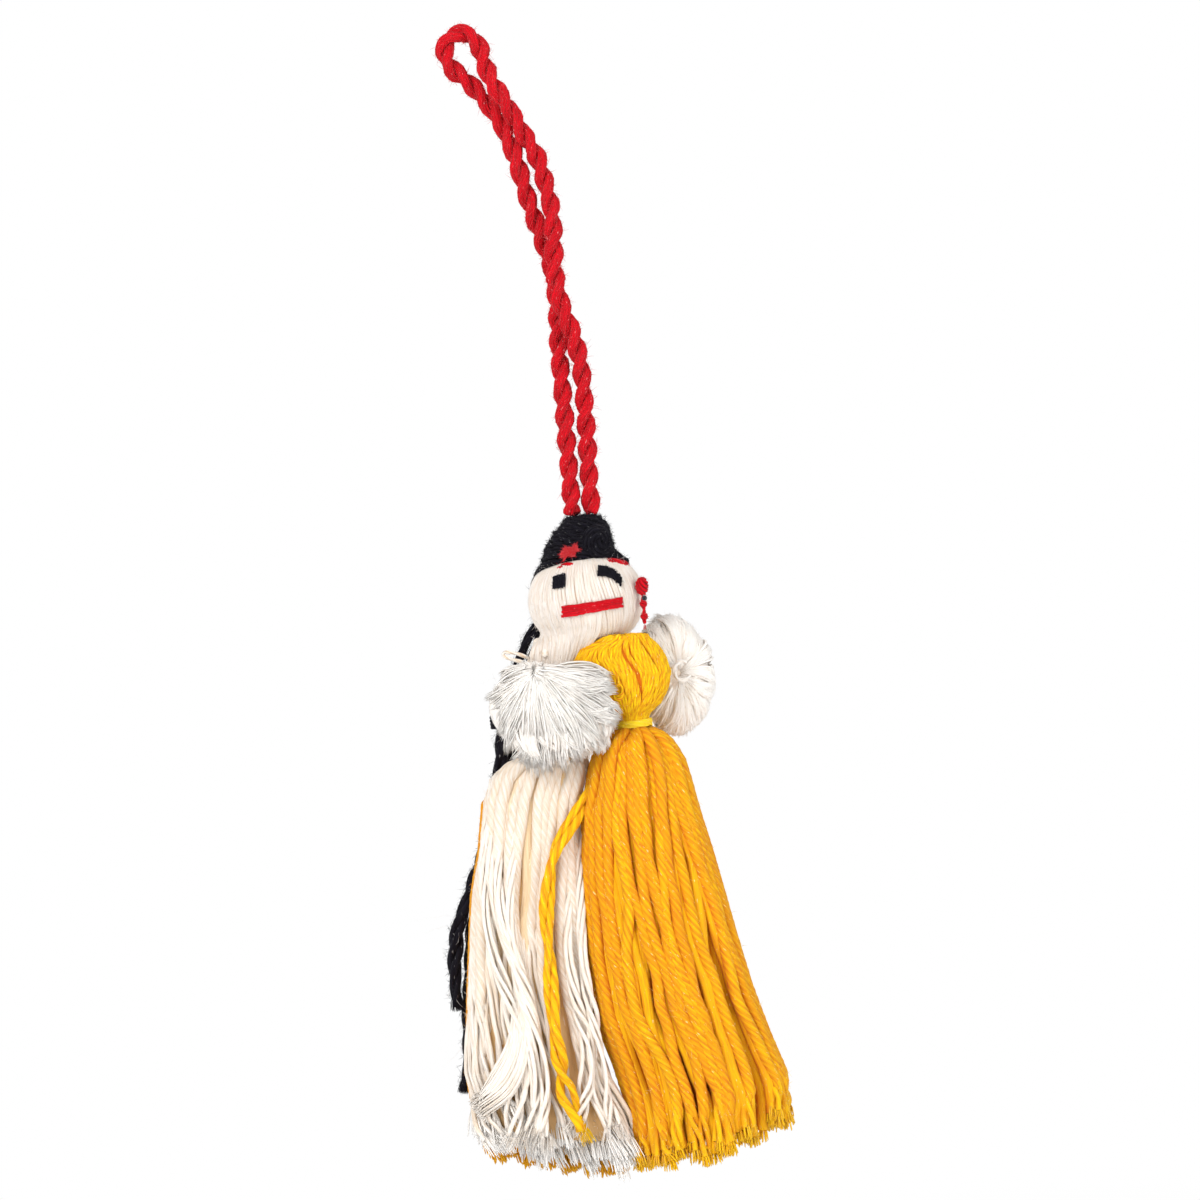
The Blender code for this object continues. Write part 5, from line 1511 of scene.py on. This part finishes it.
@dataclass(frozen=True)
class Skirt:
    """A tassel skirt: yarns laid down its form in two layers, their plies parted towards the cut ends."""

    name: str
    node: str
    body: str
    form: SkirtForm
    finish: YarnFinish
    yarns: int
    seed: int
    # Finish of the inner layers and their skin; the white skirt's is a painted-shade copy of its yarn.
    below: YarnFinish
    start: float = -0.020
    yarn: float = 0.92 * MM
    undone: Row = (0.90, 0.97)
    plies: int = 3
    ply: Row = (0.42, 0.54)
    parting: float = 0.5
    sway: float = 0.25 * MM
    drift: float = 0.09
    crowd: float = 1.3 * MM
    front_short: float = 0.0
    brush_length: float = 2.2 * MM
    brush_width: float = 0.80 * MM
    brush_hair: float = 0.17 * MM
    outer_hairs: int = 9
    inner_hairs: int = 16
    inner_layers: tuple[Row, ...] = ((1.0, 0.85 * MM), (0.9, 2.3 * MM))
    twisted_rings: int = 60
    parted_rings: int = 26
    turns_per_metre: float = 115.0
    hairs: Stray = Stray(2600, 0.8 * MM, 1.5)

    def build(self) -> None:
        """Lays the outer yarns, their parted plies, the inner yarns, and the brushes at their ends."""
        rng = np.random.default_rng(self.seed)
        paths, out, twist = self.lay_yarns(self.yarns, rng, 0.0)
        tone = rng.random(self.yarns)
        whole = self.twisted_rings + 4
        taper = self.yarn * (1 - 0.45 * ramp(np.arange(whole), self.twisted_rings - 3, whole))[None]
        thick = np.broadcast_to(taper, (self.yarns, whole))
        upper = sweep(paths[:, :whole], out[:, :whole], thick, ROPE, twist[:, :whole], tone=tone, shade=0.8)
        set_piece(f"{self.name}_outer", [upper], self.finish, self.body, self.node)
        lines, away = self.part_plies(paths, out, twist, rng)
        cut = ramp(run_of(lines) - run_of(lines)[:, -1:], -2.5 * MM, 1.5 * MM)
        shade = np.clip(np.tile(tone, self.plies) + rng.normal(0, 0.15, len(lines)), 0, 1)
        thick = self.yarn * rng.uniform(*self.ply, (len(lines), 1))
        plies = sweep(lines, away, thick, tone=shade, cut=cut, shade=0.6)
        set_piece(f"{self.name}_plies", [plies], self.finish, self.body)

        tips, layers = [self.fan(lines, self.outer_hairs, self.brush_width, rng)], []
        for share, depth in self.inner_layers:
            inner, below, _ = self.lay_yarns(int(self.yarns * share), rng, depth)
            # Inner yarns lean to the warm colour: painted shade of the lower layers.
            tone = 0.4 + 0.6 * rng.random(len(inner))
            layers.append(sweep(inner[:, ::3], below[:, ::3], self.yarn, ROUND, tone=tone, shade=0.7))
            tips.append(self.fan(inner, self.inner_hairs, self.brush_width * 1.5, rng))
        falls = np.linspace(0.05, 0.93, 16)
        low, high, near, far = self.form.edges(falls)
        sunk = 0.21 * np.minimum(high - low, far - near) + 0.9 * (1 - ramp(falls, 0.05, 0.3))
        layers.append(shell(self.form, falls, 36, -sunk[:, None] * MM))
        set_piece(f"{self.name}_inner", layers, self.below, self.body)
        set_piece(f"{self.name}_ends", tips, self.finish.frayed(), self.body)
        loose = self.hairs.grow(paths, out, self.yarn, rng)
        set_piece(f"{self.name}_hairs", [loose], self.finish.painted_shine(), self.body)

    def lay_yarns(self, count: int, rng: np.random.Generator, depth: float) -> tuple[Array, Array, Array]:
        """Paths of one layer.

        A yarn keeps its turn about the form but for a drift and a wave. The few that drift far cross over
        the others. Each sinks at the crowded top and ends a little above or below the hem. The first rings
        reach the place where its plies part, and the others its end.

        Args:
            count: How many yarns.
            rng: Source of random numbers.
            depth: How far below the form the layer lies.

        Returns:
            Paths, outward directions, and the angle that the yarn has twisted.
        """
        start = strand_turns(count, 0.2 * TAU / count, rng) + (depth > 0) * math.pi / count
        size = start.shape
        front = np.clip(-np.sin(start), 0, 1)
        short = self.front_short * (0.25 + front**2) * rng.uniform(0.25, 1.0, size)
        end = 1 + rng.normal(0, 0.010, size) - short - self.brush_length * 0.7 / (61 * MM)
        part = end * rng.uniform(*self.undone, size)
        above = np.linspace(0, 1, self.twisted_rings)[None] ** 1.15
        below = np.linspace(0, 1, self.parted_rings + 1)[None, 1:]
        fall = np.concatenate([self.start + (part - self.start) * above, part + (end - part) * below], axis=1)
        strayed = np.clip(self.drift * rng.standard_t(2.5, size), -0.42, 0.42)
        bend = 0.07 * wave(fall, 0.8, 2.2, rng, size)
        bend += 0.012 * wave(fall, 4, 8, rng, size)
        turn = start + strayed * ramp(fall, 0.02, 0.85) + bend * ramp(fall, 0.03, 0.3)
        under = 1 - np.clip(np.abs(strayed) / 0.2, 0, 1)
        crowd = rng.random(size) * self.crowd * (1 - ramp(fall, 0.03, 0.30))
        uneven = under * rng.uniform(0, 0.8, size) * MM * ramp(fall, 0.08, 0.3)
        parted = self.parting * self.yarn * ramp(fall, 0.0, 1.0) * ramp(fall - part, 0.0, 0.25)
        paths, out = lay(self.form, fall, turn, -(self.yarn + depth + crowd + uneven + parted))
        rate = TAU * self.turns_per_metre * (1 - 0.8 * ramp(fall - part, -0.05, 0.15))
        steps = np.diff(run_of(paths), axis=1, prepend=0)
        return paths, out, -np.cumsum(rate * steps, axis=1) - rng.uniform(0, TAU, size)

    def part_plies(
        self, paths: Array, out: Array, twist: Array, rng: np.random.Generator
    ) -> tuple[Array, Array]:
        """The plies of each yarn, from where they leave the twist to their ends, swaying apart."""
        first = self.twisted_rings - 4
        share = ramp(np.arange(paths.shape[1] - first), 2, paths.shape[1] - first)[None]
        opening = self.yarn * 0.5 * (1 + self.parting * share)
        lines, away = plied(paths[:, first:], out[:, first:], opening, twist[:, first:], self.plies)
        side = frames(lines, away)[2]
        sway = rng.normal(0, self.sway, (len(lines), 1, 1))
        bow = rng.normal(0, self.sway * 0.6, (len(lines), 1, 1)) * np.sin(share * math.pi)[..., None]
        return lines + side * (sway * share[..., None] + bow), away

    def fan(self, lines: Array, count: int, width: float, rng: np.random.Generator) -> Surface:
        """Brushes at the ends of paths."""
        ahead = unit(lines[:, -1] - lines[:, -4])
        back = lines[:, -1] - ahead * self.brush_length * 0.25
        return Brush(count, self.brush_length, width, self.brush_hair).spread(back, ahead, rng)


def skirts() -> list[Skirt]:
    """The white skirt, the yellow skirt beside it, and the yellow yarn behind the white."""
    top, top_right = ((-0.022, -11.0), (-0.012, -12.6), (-0.004, -14.2)), ((-0.022, -5.2), (-0.012, -2.4))
    falls = (-0.022, -0.012, -0.004, *QUARTERS)
    white = SkirtForm(
        (*top, *WHITE_LEFT),
        (*top_right, (-0.004, -1.0), (0.04, -1.6), *((fall, x + 0.6 + 3.0 * fall**2) for fall, x in DIVIDE)),
        table(falls, (-1.8, -3.2, -4.2, -7.4, -9.0, -10.2)),
        table(falls, (3.8, 3.0, 2.2, 0.4, -0.3, -0.3)),
        -36.3,
    )
    golden, falls = ((-0.03, -10.2), (-0.01, -11.6), (0.02, -14.2), (0.05, -16.6)), (-0.03, 0, 0.05, *QUARTERS)
    under = SkirtForm(
        (*golden, *((fall, x - 0.5 + 1.4 * fall**3) for fall, x in WHITE_LEFT[1:])),
        ((-0.03, -6.0), (-0.01, -5.2), (0.02, -4.0), (0.05, -3.1), *((fall, x + 0.2) for fall, x in DIVIDE)),
        table(falls, (1.4, 2.0, 1.9, 0.7, 0.0, 0.0)),
        table(falls, (3.3, 4.5, 5.6, 6.4, 7.2, 7.6)),
        -36.9,
        1.4,
    )
    depths = (0.63, 0.68, 0.72, 0.76, 0.84, 0.93, 0.96, 0.98, 1, 1)
    reach = (1.9, 3.2, 4.2, 4.9, *(8.5 * share for share in depths))
    yellow = SkirtForm(
        table(YELLOW_FALLS, (3.6, 1.9, 0.5, -0.5, -1.2, -2.1, -2.9, -3.9, -4.5, -4.9, -4.2, -1.5, 0.1, 0.1)),
        table(YELLOW_FALLS, (7.4, 9.2, 10.4, 11.2, 11.9, 13.0, 13.7, 14.3, 16.2, 18.6, 20.5, 22.7, 24.8, 24.8)),
        table(YELLOW_FALLS, [-2.6 - r for r in reach]),
        table(YELLOW_FALLS, [-2.6 + r for r in reach]),
        -33.0,
    )
    return [
        Skirt(
            "white_skirt_yarns", "white_skirt", "white_skirt", white, WHITE, 33, 51, SHADED_WHITE, start=-0.022,
            undone=(0.40, 0.66), plies=5, ply=(0.32, 0.44), parting=1.2, sway=0.75 * MM, drift=0.10,
            front_short=0.08, brush_length=4.2 * MM, brush_width=0.95 * MM, twisted_rings=44, parted_rings=34,
            brush_hair=0.20 * MM, outer_hairs=7, inner_hairs=9,
        ),
        Skirt("yellow_skirt_yarns", "yellow_skirt", "yellow_skirt", yellow, YELLOW, 44, 52, YELLOW),
        Skirt(
            "underskirt_yarns", "yellow_underskirt", "torso", under, UNDER, 30, 53, UNDER, start=-0.030,
            brush_length=3.4 * MM, brush_hair=0.20 * MM, crowd=0.45 * MM,
        ),
    ]


@dataclass(frozen=True)
class StrayYarns:
    """Yarns that have strayed over the front of the white skirt, their plies parted and frayed at the foot."""

    name: str
    form: SkirtForm
    finish: YarnFinish
    routes: tuple[tuple[Row, ...], ...]
    nodes: tuple[str, ...] = ()
    plies: int = 2
    ply: float = 0.68 * MM
    spread: float = 0.55 * MM
    opening: float = 0.9
    opened: Row = (0.7, 1.0)
    turns: float = 2.2
    tuck: float = 2.2
    lift: float = 1.0
    brush_length: float = 3.0 * MM
    point: float = 0.0
    section: Section = THREE_PLY
    seed: int = 61
    hairs: Stray = Stray(240, 0.8 * MM, thickness=0.016 * MM)

    def build(self) -> None:
        """Lays the plies along each route, tucked under at the top, with a brush at each foot."""
        rng = np.random.default_rng(self.seed)
        middle = np.concatenate([smooth(self.on_front(np.array(route))[None], 70) for route in self.routes])
        share = np.linspace(0, 1, 70)[None]
        opened = ramp(share, *self.opened)
        twist = rng.uniform(0, TAU, (len(middle), 1)) + self.turns * TAU * (share - 0.7 * opened)
        spread = np.broadcast_to(self.spread * (1 + self.opening * opened), twist.shape)
        plies, away = plied(middle, FRONT, spread, twist, self.plies)
        plies = plies + rng.normal(0, 0.3 * self.opening * MM, (len(plies), 1, 3)) * opened[..., None]
        thick = self.ply * rng.uniform(0.85, 1.1, (len(plies), 1)) * (1 - self.point * ramp(share, 0.8, 1.0))
        tone = rng.random(len(plies))
        yarns = sweep(plies, FRONT, thick, self.section, turned(plies, -105), tone=tone, shade=0.3)
        ends = Brush(10, self.brush_length, 0.9 * MM, 0.10 * MM, cut=0.3)
        tips = ends.spread(plies[:, -2], plies[:, -1] - plies[:, -4], rng)
        loose = self.hairs.grow(plies, away, self.ply, rng)
        set_piece(self.name, [yarns, tips, loose], self.finish, "white_skirt", *self.nodes)

    def on_front(self, route: Array) -> Array:
        """Places just above the skirt's front from sides and heights in mm, the first ones sunk below it."""
        x, z = route.T
        fall = (z - self.form.top) / (hem(x) - self.form.top)
        low, high, near, far = self.form.edges(fall)
        aside = np.clip(np.abs(2 * x - low - high) / (high - low), 0, 1)
        bulge = np.maximum(0.72, (1 - aside**2.4) ** (1 / 2.4))
        sunk = self.tuck * np.clip(1 - np.arange(len(x)) / 2, 0, 1)
        y = (near + far) / 2 - (far - near) / 2 * bulge - self.lift + sunk
        return from_crown(np.stack([x, y, z], axis=1))


def stray_yarns(front: SkirtForm) -> list[StrayYarns]:
    """The loose yellow pair, the white yarns that cross the skirt, and the lock that curls out at the left."""
    return [
        StrayYarns("loose_yellow_pair", front, LEMON, (LOOSE_PAIR,), ("loose_yellow_yarn",)),
        StrayYarns(
            "crossing_white_yarns", front, WHITE, CROSSING, plies=4, ply=0.34 * MM, spread=0.48 * MM, opening=1.1,
            opened=(0.35, 0.9), turns=3.0, tuck=2.6, lift=-0.1, brush_length=3.6 * MM, section=THREAD,
            seed=62,
        ),
        StrayYarns(
            "spoon_lock", front, WHITE, SPOON, plies=9, ply=0.21 * MM, spread=0.42 * MM, opening=0.25,
            opened=(0.3, 0.8), turns=0.3, lift=0.4, brush_length=0.7 * MM, point=0.6, section=THREAD, seed=63,
        ),
    ]


@dataclass(frozen=True)
class TuftArm:
    """A tuft of soft white yarn spread from its tie over a ball, with frayed ends."""

    side: str
    centre: Point
    radii: Point
    pole: Point
    strands: int
    reach: tuple[float, float]
    seed: int
    locks: int
    gather: float = 0.30
    corner: Point = (0.0, 0.0, 0.0)
    hang: Point = (0.0, 0.0, 0.0)
    shoulder: Point = (0.0, 0.0, 0.0)
    wisps: tuple[Point, ...] = ()
    flare: float = 0.12
    single: float = 0.4
    tips: Brush = Brush(3, 2.0 * MM, 0.26 * MM, 0.07 * MM, cut=0.4, gather=0.5)
    hairs: Stray = Stray(1200, 0.9 * MM, 1.3, 0.018 * MM)
    tie_yarn: float = 0.62 * MM
    tie_hairs: Stray = Stray(60, 0.6 * MM, thickness=0.016 * MM)

    def build(self) -> None:
        """Spreads locks of strands over loose ones below them, frayed at their ends, and ties the arm on."""
        rng = np.random.default_rng(self.seed)
        name = f"{self.side}_arm"
        form = Ball(from_crown(self.centre), np.array(self.radii) * MM, self.pole)
        small = min(self.radii) * MM
        path, out, level = self.lay_strands(form, small, rng)
        share, size = np.linspace(0, 1, 10)[None], level.shape
        radius = 0.19 * MM * (0.80 + 0.35 * np.sin(share * math.pi)) * rng.uniform(0.8, 1.25, size)
        # Strands that lie deeper get the warmer tone: painted shade of the lower layers, with a random share.
        tone = np.clip(0.8 * level + 0.3 * rng.random(size), 0, 1)
        yarn = sweep(path, out, radius, FINE, tone=tone, shade=0.6)
        skin = shell(form, np.linspace(0.06, 0.94, 16), 34, -0.36 * small)
        ahead = unit(unit(path[:, -1] - path[:, -3]) + self.flare * out[:, -1])
        tips = self.tips.spread(path[:, -1] - ahead * 0.7 * MM, ahead, rng)
        loose = self.hairs.grow(path, out, 0.2 * MM, rng)
        set_piece(f"{name}_strands", [skin, yarn], FLUFF, name, f"{self.side}_pompom")
        set_piece(f"{name}_ends", [tips, loose], FLUFF.frayed(), name)
        if self.wisps:
            set_piece(f"{name}_wisps", [self.lay_wisps(form, rng)], FLUFF, name)
        self.lay_tie(f"{name}_tie", rng)

    def lay_strands(self, form: Ball, small: float, rng: np.random.Generator) -> tuple[Array, Array, Array]:
        """Paths of the strands, gathered at the tie.

        Most strands belong to a lock, whose turn, reach, bend and level they share but for a little; the single
        ones lie deeper. Three masks move the strands at the ball's lower right, underside and upper right.

        Args:
            form: The ball that they lie on.
            small: Its least radius.
            rng: Source of random numbers.

        Returns:
            Paths, outward directions, and how deep each strand lies.
        """
        share = np.linspace(0, 1, 10)[None]
        lock = rng.integers(0, self.locks, (self.strands, 1))
        size, (least, most) = lock.shape, self.reach
        single = rng.random(size) < self.single
        turns, stops = rng.uniform(0, TAU, self.locks), np.sqrt(rng.uniform(least**2, most**2, self.locks))
        aside = rng.normal(0, 0.085, size) * (1 - 0.45 * ramp(share, 0.45, 1.0))
        start = np.where(single, rng.uniform(0, TAU, size), turns[lock] + aside)
        stop = np.where(single, rng.uniform(least, most, size), stops[lock] * rng.uniform(0.90, 1.06, size))
        bend = np.where(single, 0.0, rng.normal(0, 0.28, self.locks)[lock]) + rng.normal(0, 0.05, size)
        swing = 0.04 * wave(share, 0.5, 1.2, rng, size)
        level = np.where(single, 0.75 + 0.25 * rng.random(size), rng.random(self.locks)[lock] * 0.6)
        level = level + rng.random(size) * 0.18
        rise = self.gather * small * (1 - ramp(share, 0.0, 0.55))
        depth = 0.18 * MM + level * 0.24 * small + rise
        path, out = lay(form, 0.02 + (stop - 0.02) * share, start + bend * share**2 + swing * share, -depth)
        near = (path - form.centre) / form.radii
        right, front, low, high = near[..., :1], near[..., 1:2], np.clip(-near[..., 2:], 0, 1), near[..., 2:]
        corner = np.clip(right, 0, 1) * low
        under = low**1.5 * np.clip(0.35 - front, 0, 1)
        shoulder = np.clip(right + 0.2, 0, 1) * np.clip(high, 0, 1)
        path = path + (corner * self.corner + under * self.hang + shoulder * self.shoulder) * MM
        loose = rng.normal(0, 0.16 * MM, (self.strands, 1, 3)) * ramp(share, 0.4, 1.0)[..., None]
        return path + loose, out, level

    def lay_wisps(self, form: Ball, rng: np.random.Generator) -> Surface:
        """Pointed locks that leave the tie over the ball's front and reach past its outline.

        Each lock's line starts part of the way from the tie to its end. A strand keeps a sideways step from the
        line that grows from the root to the middle and closes towards the point.
        """
        ends = np.repeat(from_crown(self.wisps), 3, axis=0)
        ends += rng.normal(0, 0.55, ends.shape) * np.array((1.0, 0.4, 1.0)) * MM
        tie = form.centre + unit(np.array(self.pole, float)) * form.radii * 0.98
        begin = rng.uniform(-0.06, 0.30, (len(ends), 1))
        bow = np.cross(unit(ends - tie), (0.0, 1.0, 0.0)) * rng.normal(0, 0.8 * MM, begin.shape)
        rise = rng.uniform(0.1, 0.9, begin.shape) * MM
        route = []
        for share, bent, risen in ((0.0, 0.0, -0.5), (0.35, 0.7, 1.0), (0.7, 1.0, 1.0)):
            place = tie + (ends - tie) * (begin + (1 - begin) * share) + bow * bent
            aside = ((place - form.centre) / form.radii)[:, (0, 2)]
            deep = np.sqrt(np.maximum(1 - np.sum(aside**2, axis=1), 0.12))[:, None]
            place[:, 1:2] = form.centre[1] - form.radii[1] * deep - rise * risen
            route.append(place)
        lines = np.repeat(smooth(np.stack([*route, ends], axis=1), 10), 22, axis=0)
        share = np.linspace(0, 1, 10)[None]
        _, up, aside = frames(lines, FRONT)
        step = rng.normal(0, 1, (2, len(lines), 1, 1))
        close = (np.sin(math.pi * (0.12 + 0.80 * share)) * (1 - 0.35 * share))[..., None]
        path = lines + (aside * step[0] * 0.62 + up * step[1] * 0.28) * close * MM
        path = path + rng.normal(0, 0.22 * MM, (len(lines), 1, 3)) * share[..., None] ** 2
        radius = 0.15 * MM * (1 - 0.6 * share**2) * rng.uniform(0.7, 1.2, (len(lines), 1))
        # Strands that lie lower get the warmer tone: painted shade of the lower strands, with a random share.
        tone = np.clip(0.5 - 0.35 * step[1, :, 0, 0] + rng.normal(0, 0.15, len(lines)), 0, 1)
        return pointed(path, FRONT, radius * 1.1, tone)

    def lay_tie(self, node: str, rng: np.random.Generator) -> None:
        """The short twisted yarn that holds the arm to the body."""
        middle, half = span(node)
        along = np.zeros(3)
        along[int(np.argmax(half))] = 1.0
        reach = float(half.max()) + 1.5 * MM
        path = (middle + along * np.linspace(-reach, reach, 24)[:, None])[None]
        out = across(along)[None, None]
        loose = self.tie_hairs.grow(path, out, 0.6 * MM, rng)
        set_piece(f"{node}_yarn", [twine(path, out, self.tie_yarn, 220), loose], WHITE, "torso", node)


def arms() -> list[TuftArm]:
    """The left tuft, which hangs forward over the bodice, and the right one, which faces the front."""
    return [
        TuftArm(
            "left", (-7.1, -6.6, -28.0), (8.9, 4.9, 7.3), (-0.18, -0.66, 0.73), 1300, (0.42, 0.86), 81, 44,
            gather=0.10, corner=(3.4, 0.0, -2.6), hang=(0.0, -2.6, -2.4), shoulder=(0.0, 0.0, -2.6),
            wisps=LEFT_WISPS,
        ),
        TuftArm("right", (11.6, 5.4, -25.1), (6.8, 5.1, 9.3), (0.20, -0.97, 0.05), 1600, (0.28, 0.97), 82, 38),
    ]


@dataclass(frozen=True)
class ArmLoop:
    """The loop of white yarn that stands out of the right arm's middle."""

    radius: float = 1.25 * MM
    yarn: float = 0.34 * MM

    def build(self) -> None:
        """Twists a yarn round the loop and down into the tuft."""
        (x, y, z), _ = span("right_arm_loop")
        turn = np.linspace(-0.15 * math.pi, 1.30 * math.pi, 80)
        aside, high = x - self.radius * np.sin(turn), z + self.radius * 1.1 * np.cos(turn)
        deep = y - 0.15 * MM + 1.7 * MM * (np.abs(turn - 0.58 * math.pi) / 2.3) ** 2
        yarn = twine(np.stack([aside, deep, high], axis=1)[None], FRONT, self.yarn, 230)
        set_piece("right_arm_loop_yarn", [yarn], FLUFF, "right_arm", "right_arm_loop")


@dataclass(frozen=True)
class Tails:
    """Two tails of black hair behind the left side, loosely twisted, with a thread round both."""

    spread: float = 0.55 * MM
    ply: float = 0.60 * MM
    hairs: Stray = Stray(2200, 0.8 * MM, 1.5, 0.024 * MM)
    caught: Stray = Stray(46, 3.4 * MM, 1.4, 0.016 * MM)
    tips: Brush = Brush(40, 2.2 * MM, 0.8 * MM)
    tie_yarn: float = 0.33 * MM

    def build(self) -> None:
        """Twists each tail, catches a few pale fibres in it and ties the two."""
        rng = np.random.default_rng(71)
        for node, route in (("short_tail", SHORT_TAIL), ("long_tail", LONG_TAIL)):
            self.twist_tail(node, np.array(route), rng)
        centre, size = span("tail_tie")
        turn = np.linspace(0, 4 * TAU, 200)
        ring = np.stack([size[0] * 0.57 * np.cos(turn), size[1] * 0.62 * np.sin(turn)], axis=1)
        z = np.linspace(-0.8, 0.8, 200) * size[2] + 0.15 * MM * np.sin(turn)
        path = (centre + np.concatenate([ring, z[:, None]], axis=1))[None]
        yarn = twine(path, unit((path - centre) * np.array((1, 1, 0))), self.tie_yarn, 240)
        set_piece("tail_tie_yarn", [yarn], BLACK, "tails", "tail_tie")

    def twist_tail(self, node: str, route: Array, rng: np.random.Generator) -> None:
        """One tail: three soft strands wound about its line, frayed at the foot."""
        line = smooth((HEAD + route * MM)[None], 130)
        share = np.linspace(0, 1, 130)[None]
        slim = 0.68 + 0.32 * ramp(share, 0.1, 0.45)
        spread = self.spread * slim * (1 + 0.35 * np.sin(share * 31) * rng.uniform(0.5, 1.0))
        lines, away = plied(line, np.array((-0.5, 0.85, 0.0)), spread, turned(line, 78))
        thick = self.ply * slim * (1 - 0.25 * ramp(share, 0.9, 1.0))
        strands = sweep(lines, away, np.broadcast_to(thick, lines.shape[:2]), THREE_PLY, turned(lines, -150))
        tips = self.tips.spread(lines[:, -4], np.repeat(line[:, -1] - line[:, -4], 3, axis=0), rng)
        loose = self.hairs.grow(lines, away, self.ply, rng)
        set_piece(f"{node}_strands", [strands, tips, loose], BLACK, "tails", node)
        set_piece(f"{node}_caught_hairs", [self.caught.grow(lines, away, self.ply, rng)], FLUFF, "tails")


def main() -> None:
    """Builds the studio and every part of the doll, in order, and logs each part as it is built."""
    logging.basicConfig(level=logging.INFO, format="%(message)s")
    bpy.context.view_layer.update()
    fibre_group()
    tint_group()
    skirt_set = skirts()
    parts = [Studio(), HangerCord(), Hair(), Head(), EarOrnament(), Body(), *skirt_set]
    for part in [*parts, *stray_yarns(skirt_set[0].form), *arms(), ArmLoop(), Tails()]:
        LOG.info("building %s", type(part).__name__)
        part.build()


if __name__ == "__main__":
    main()
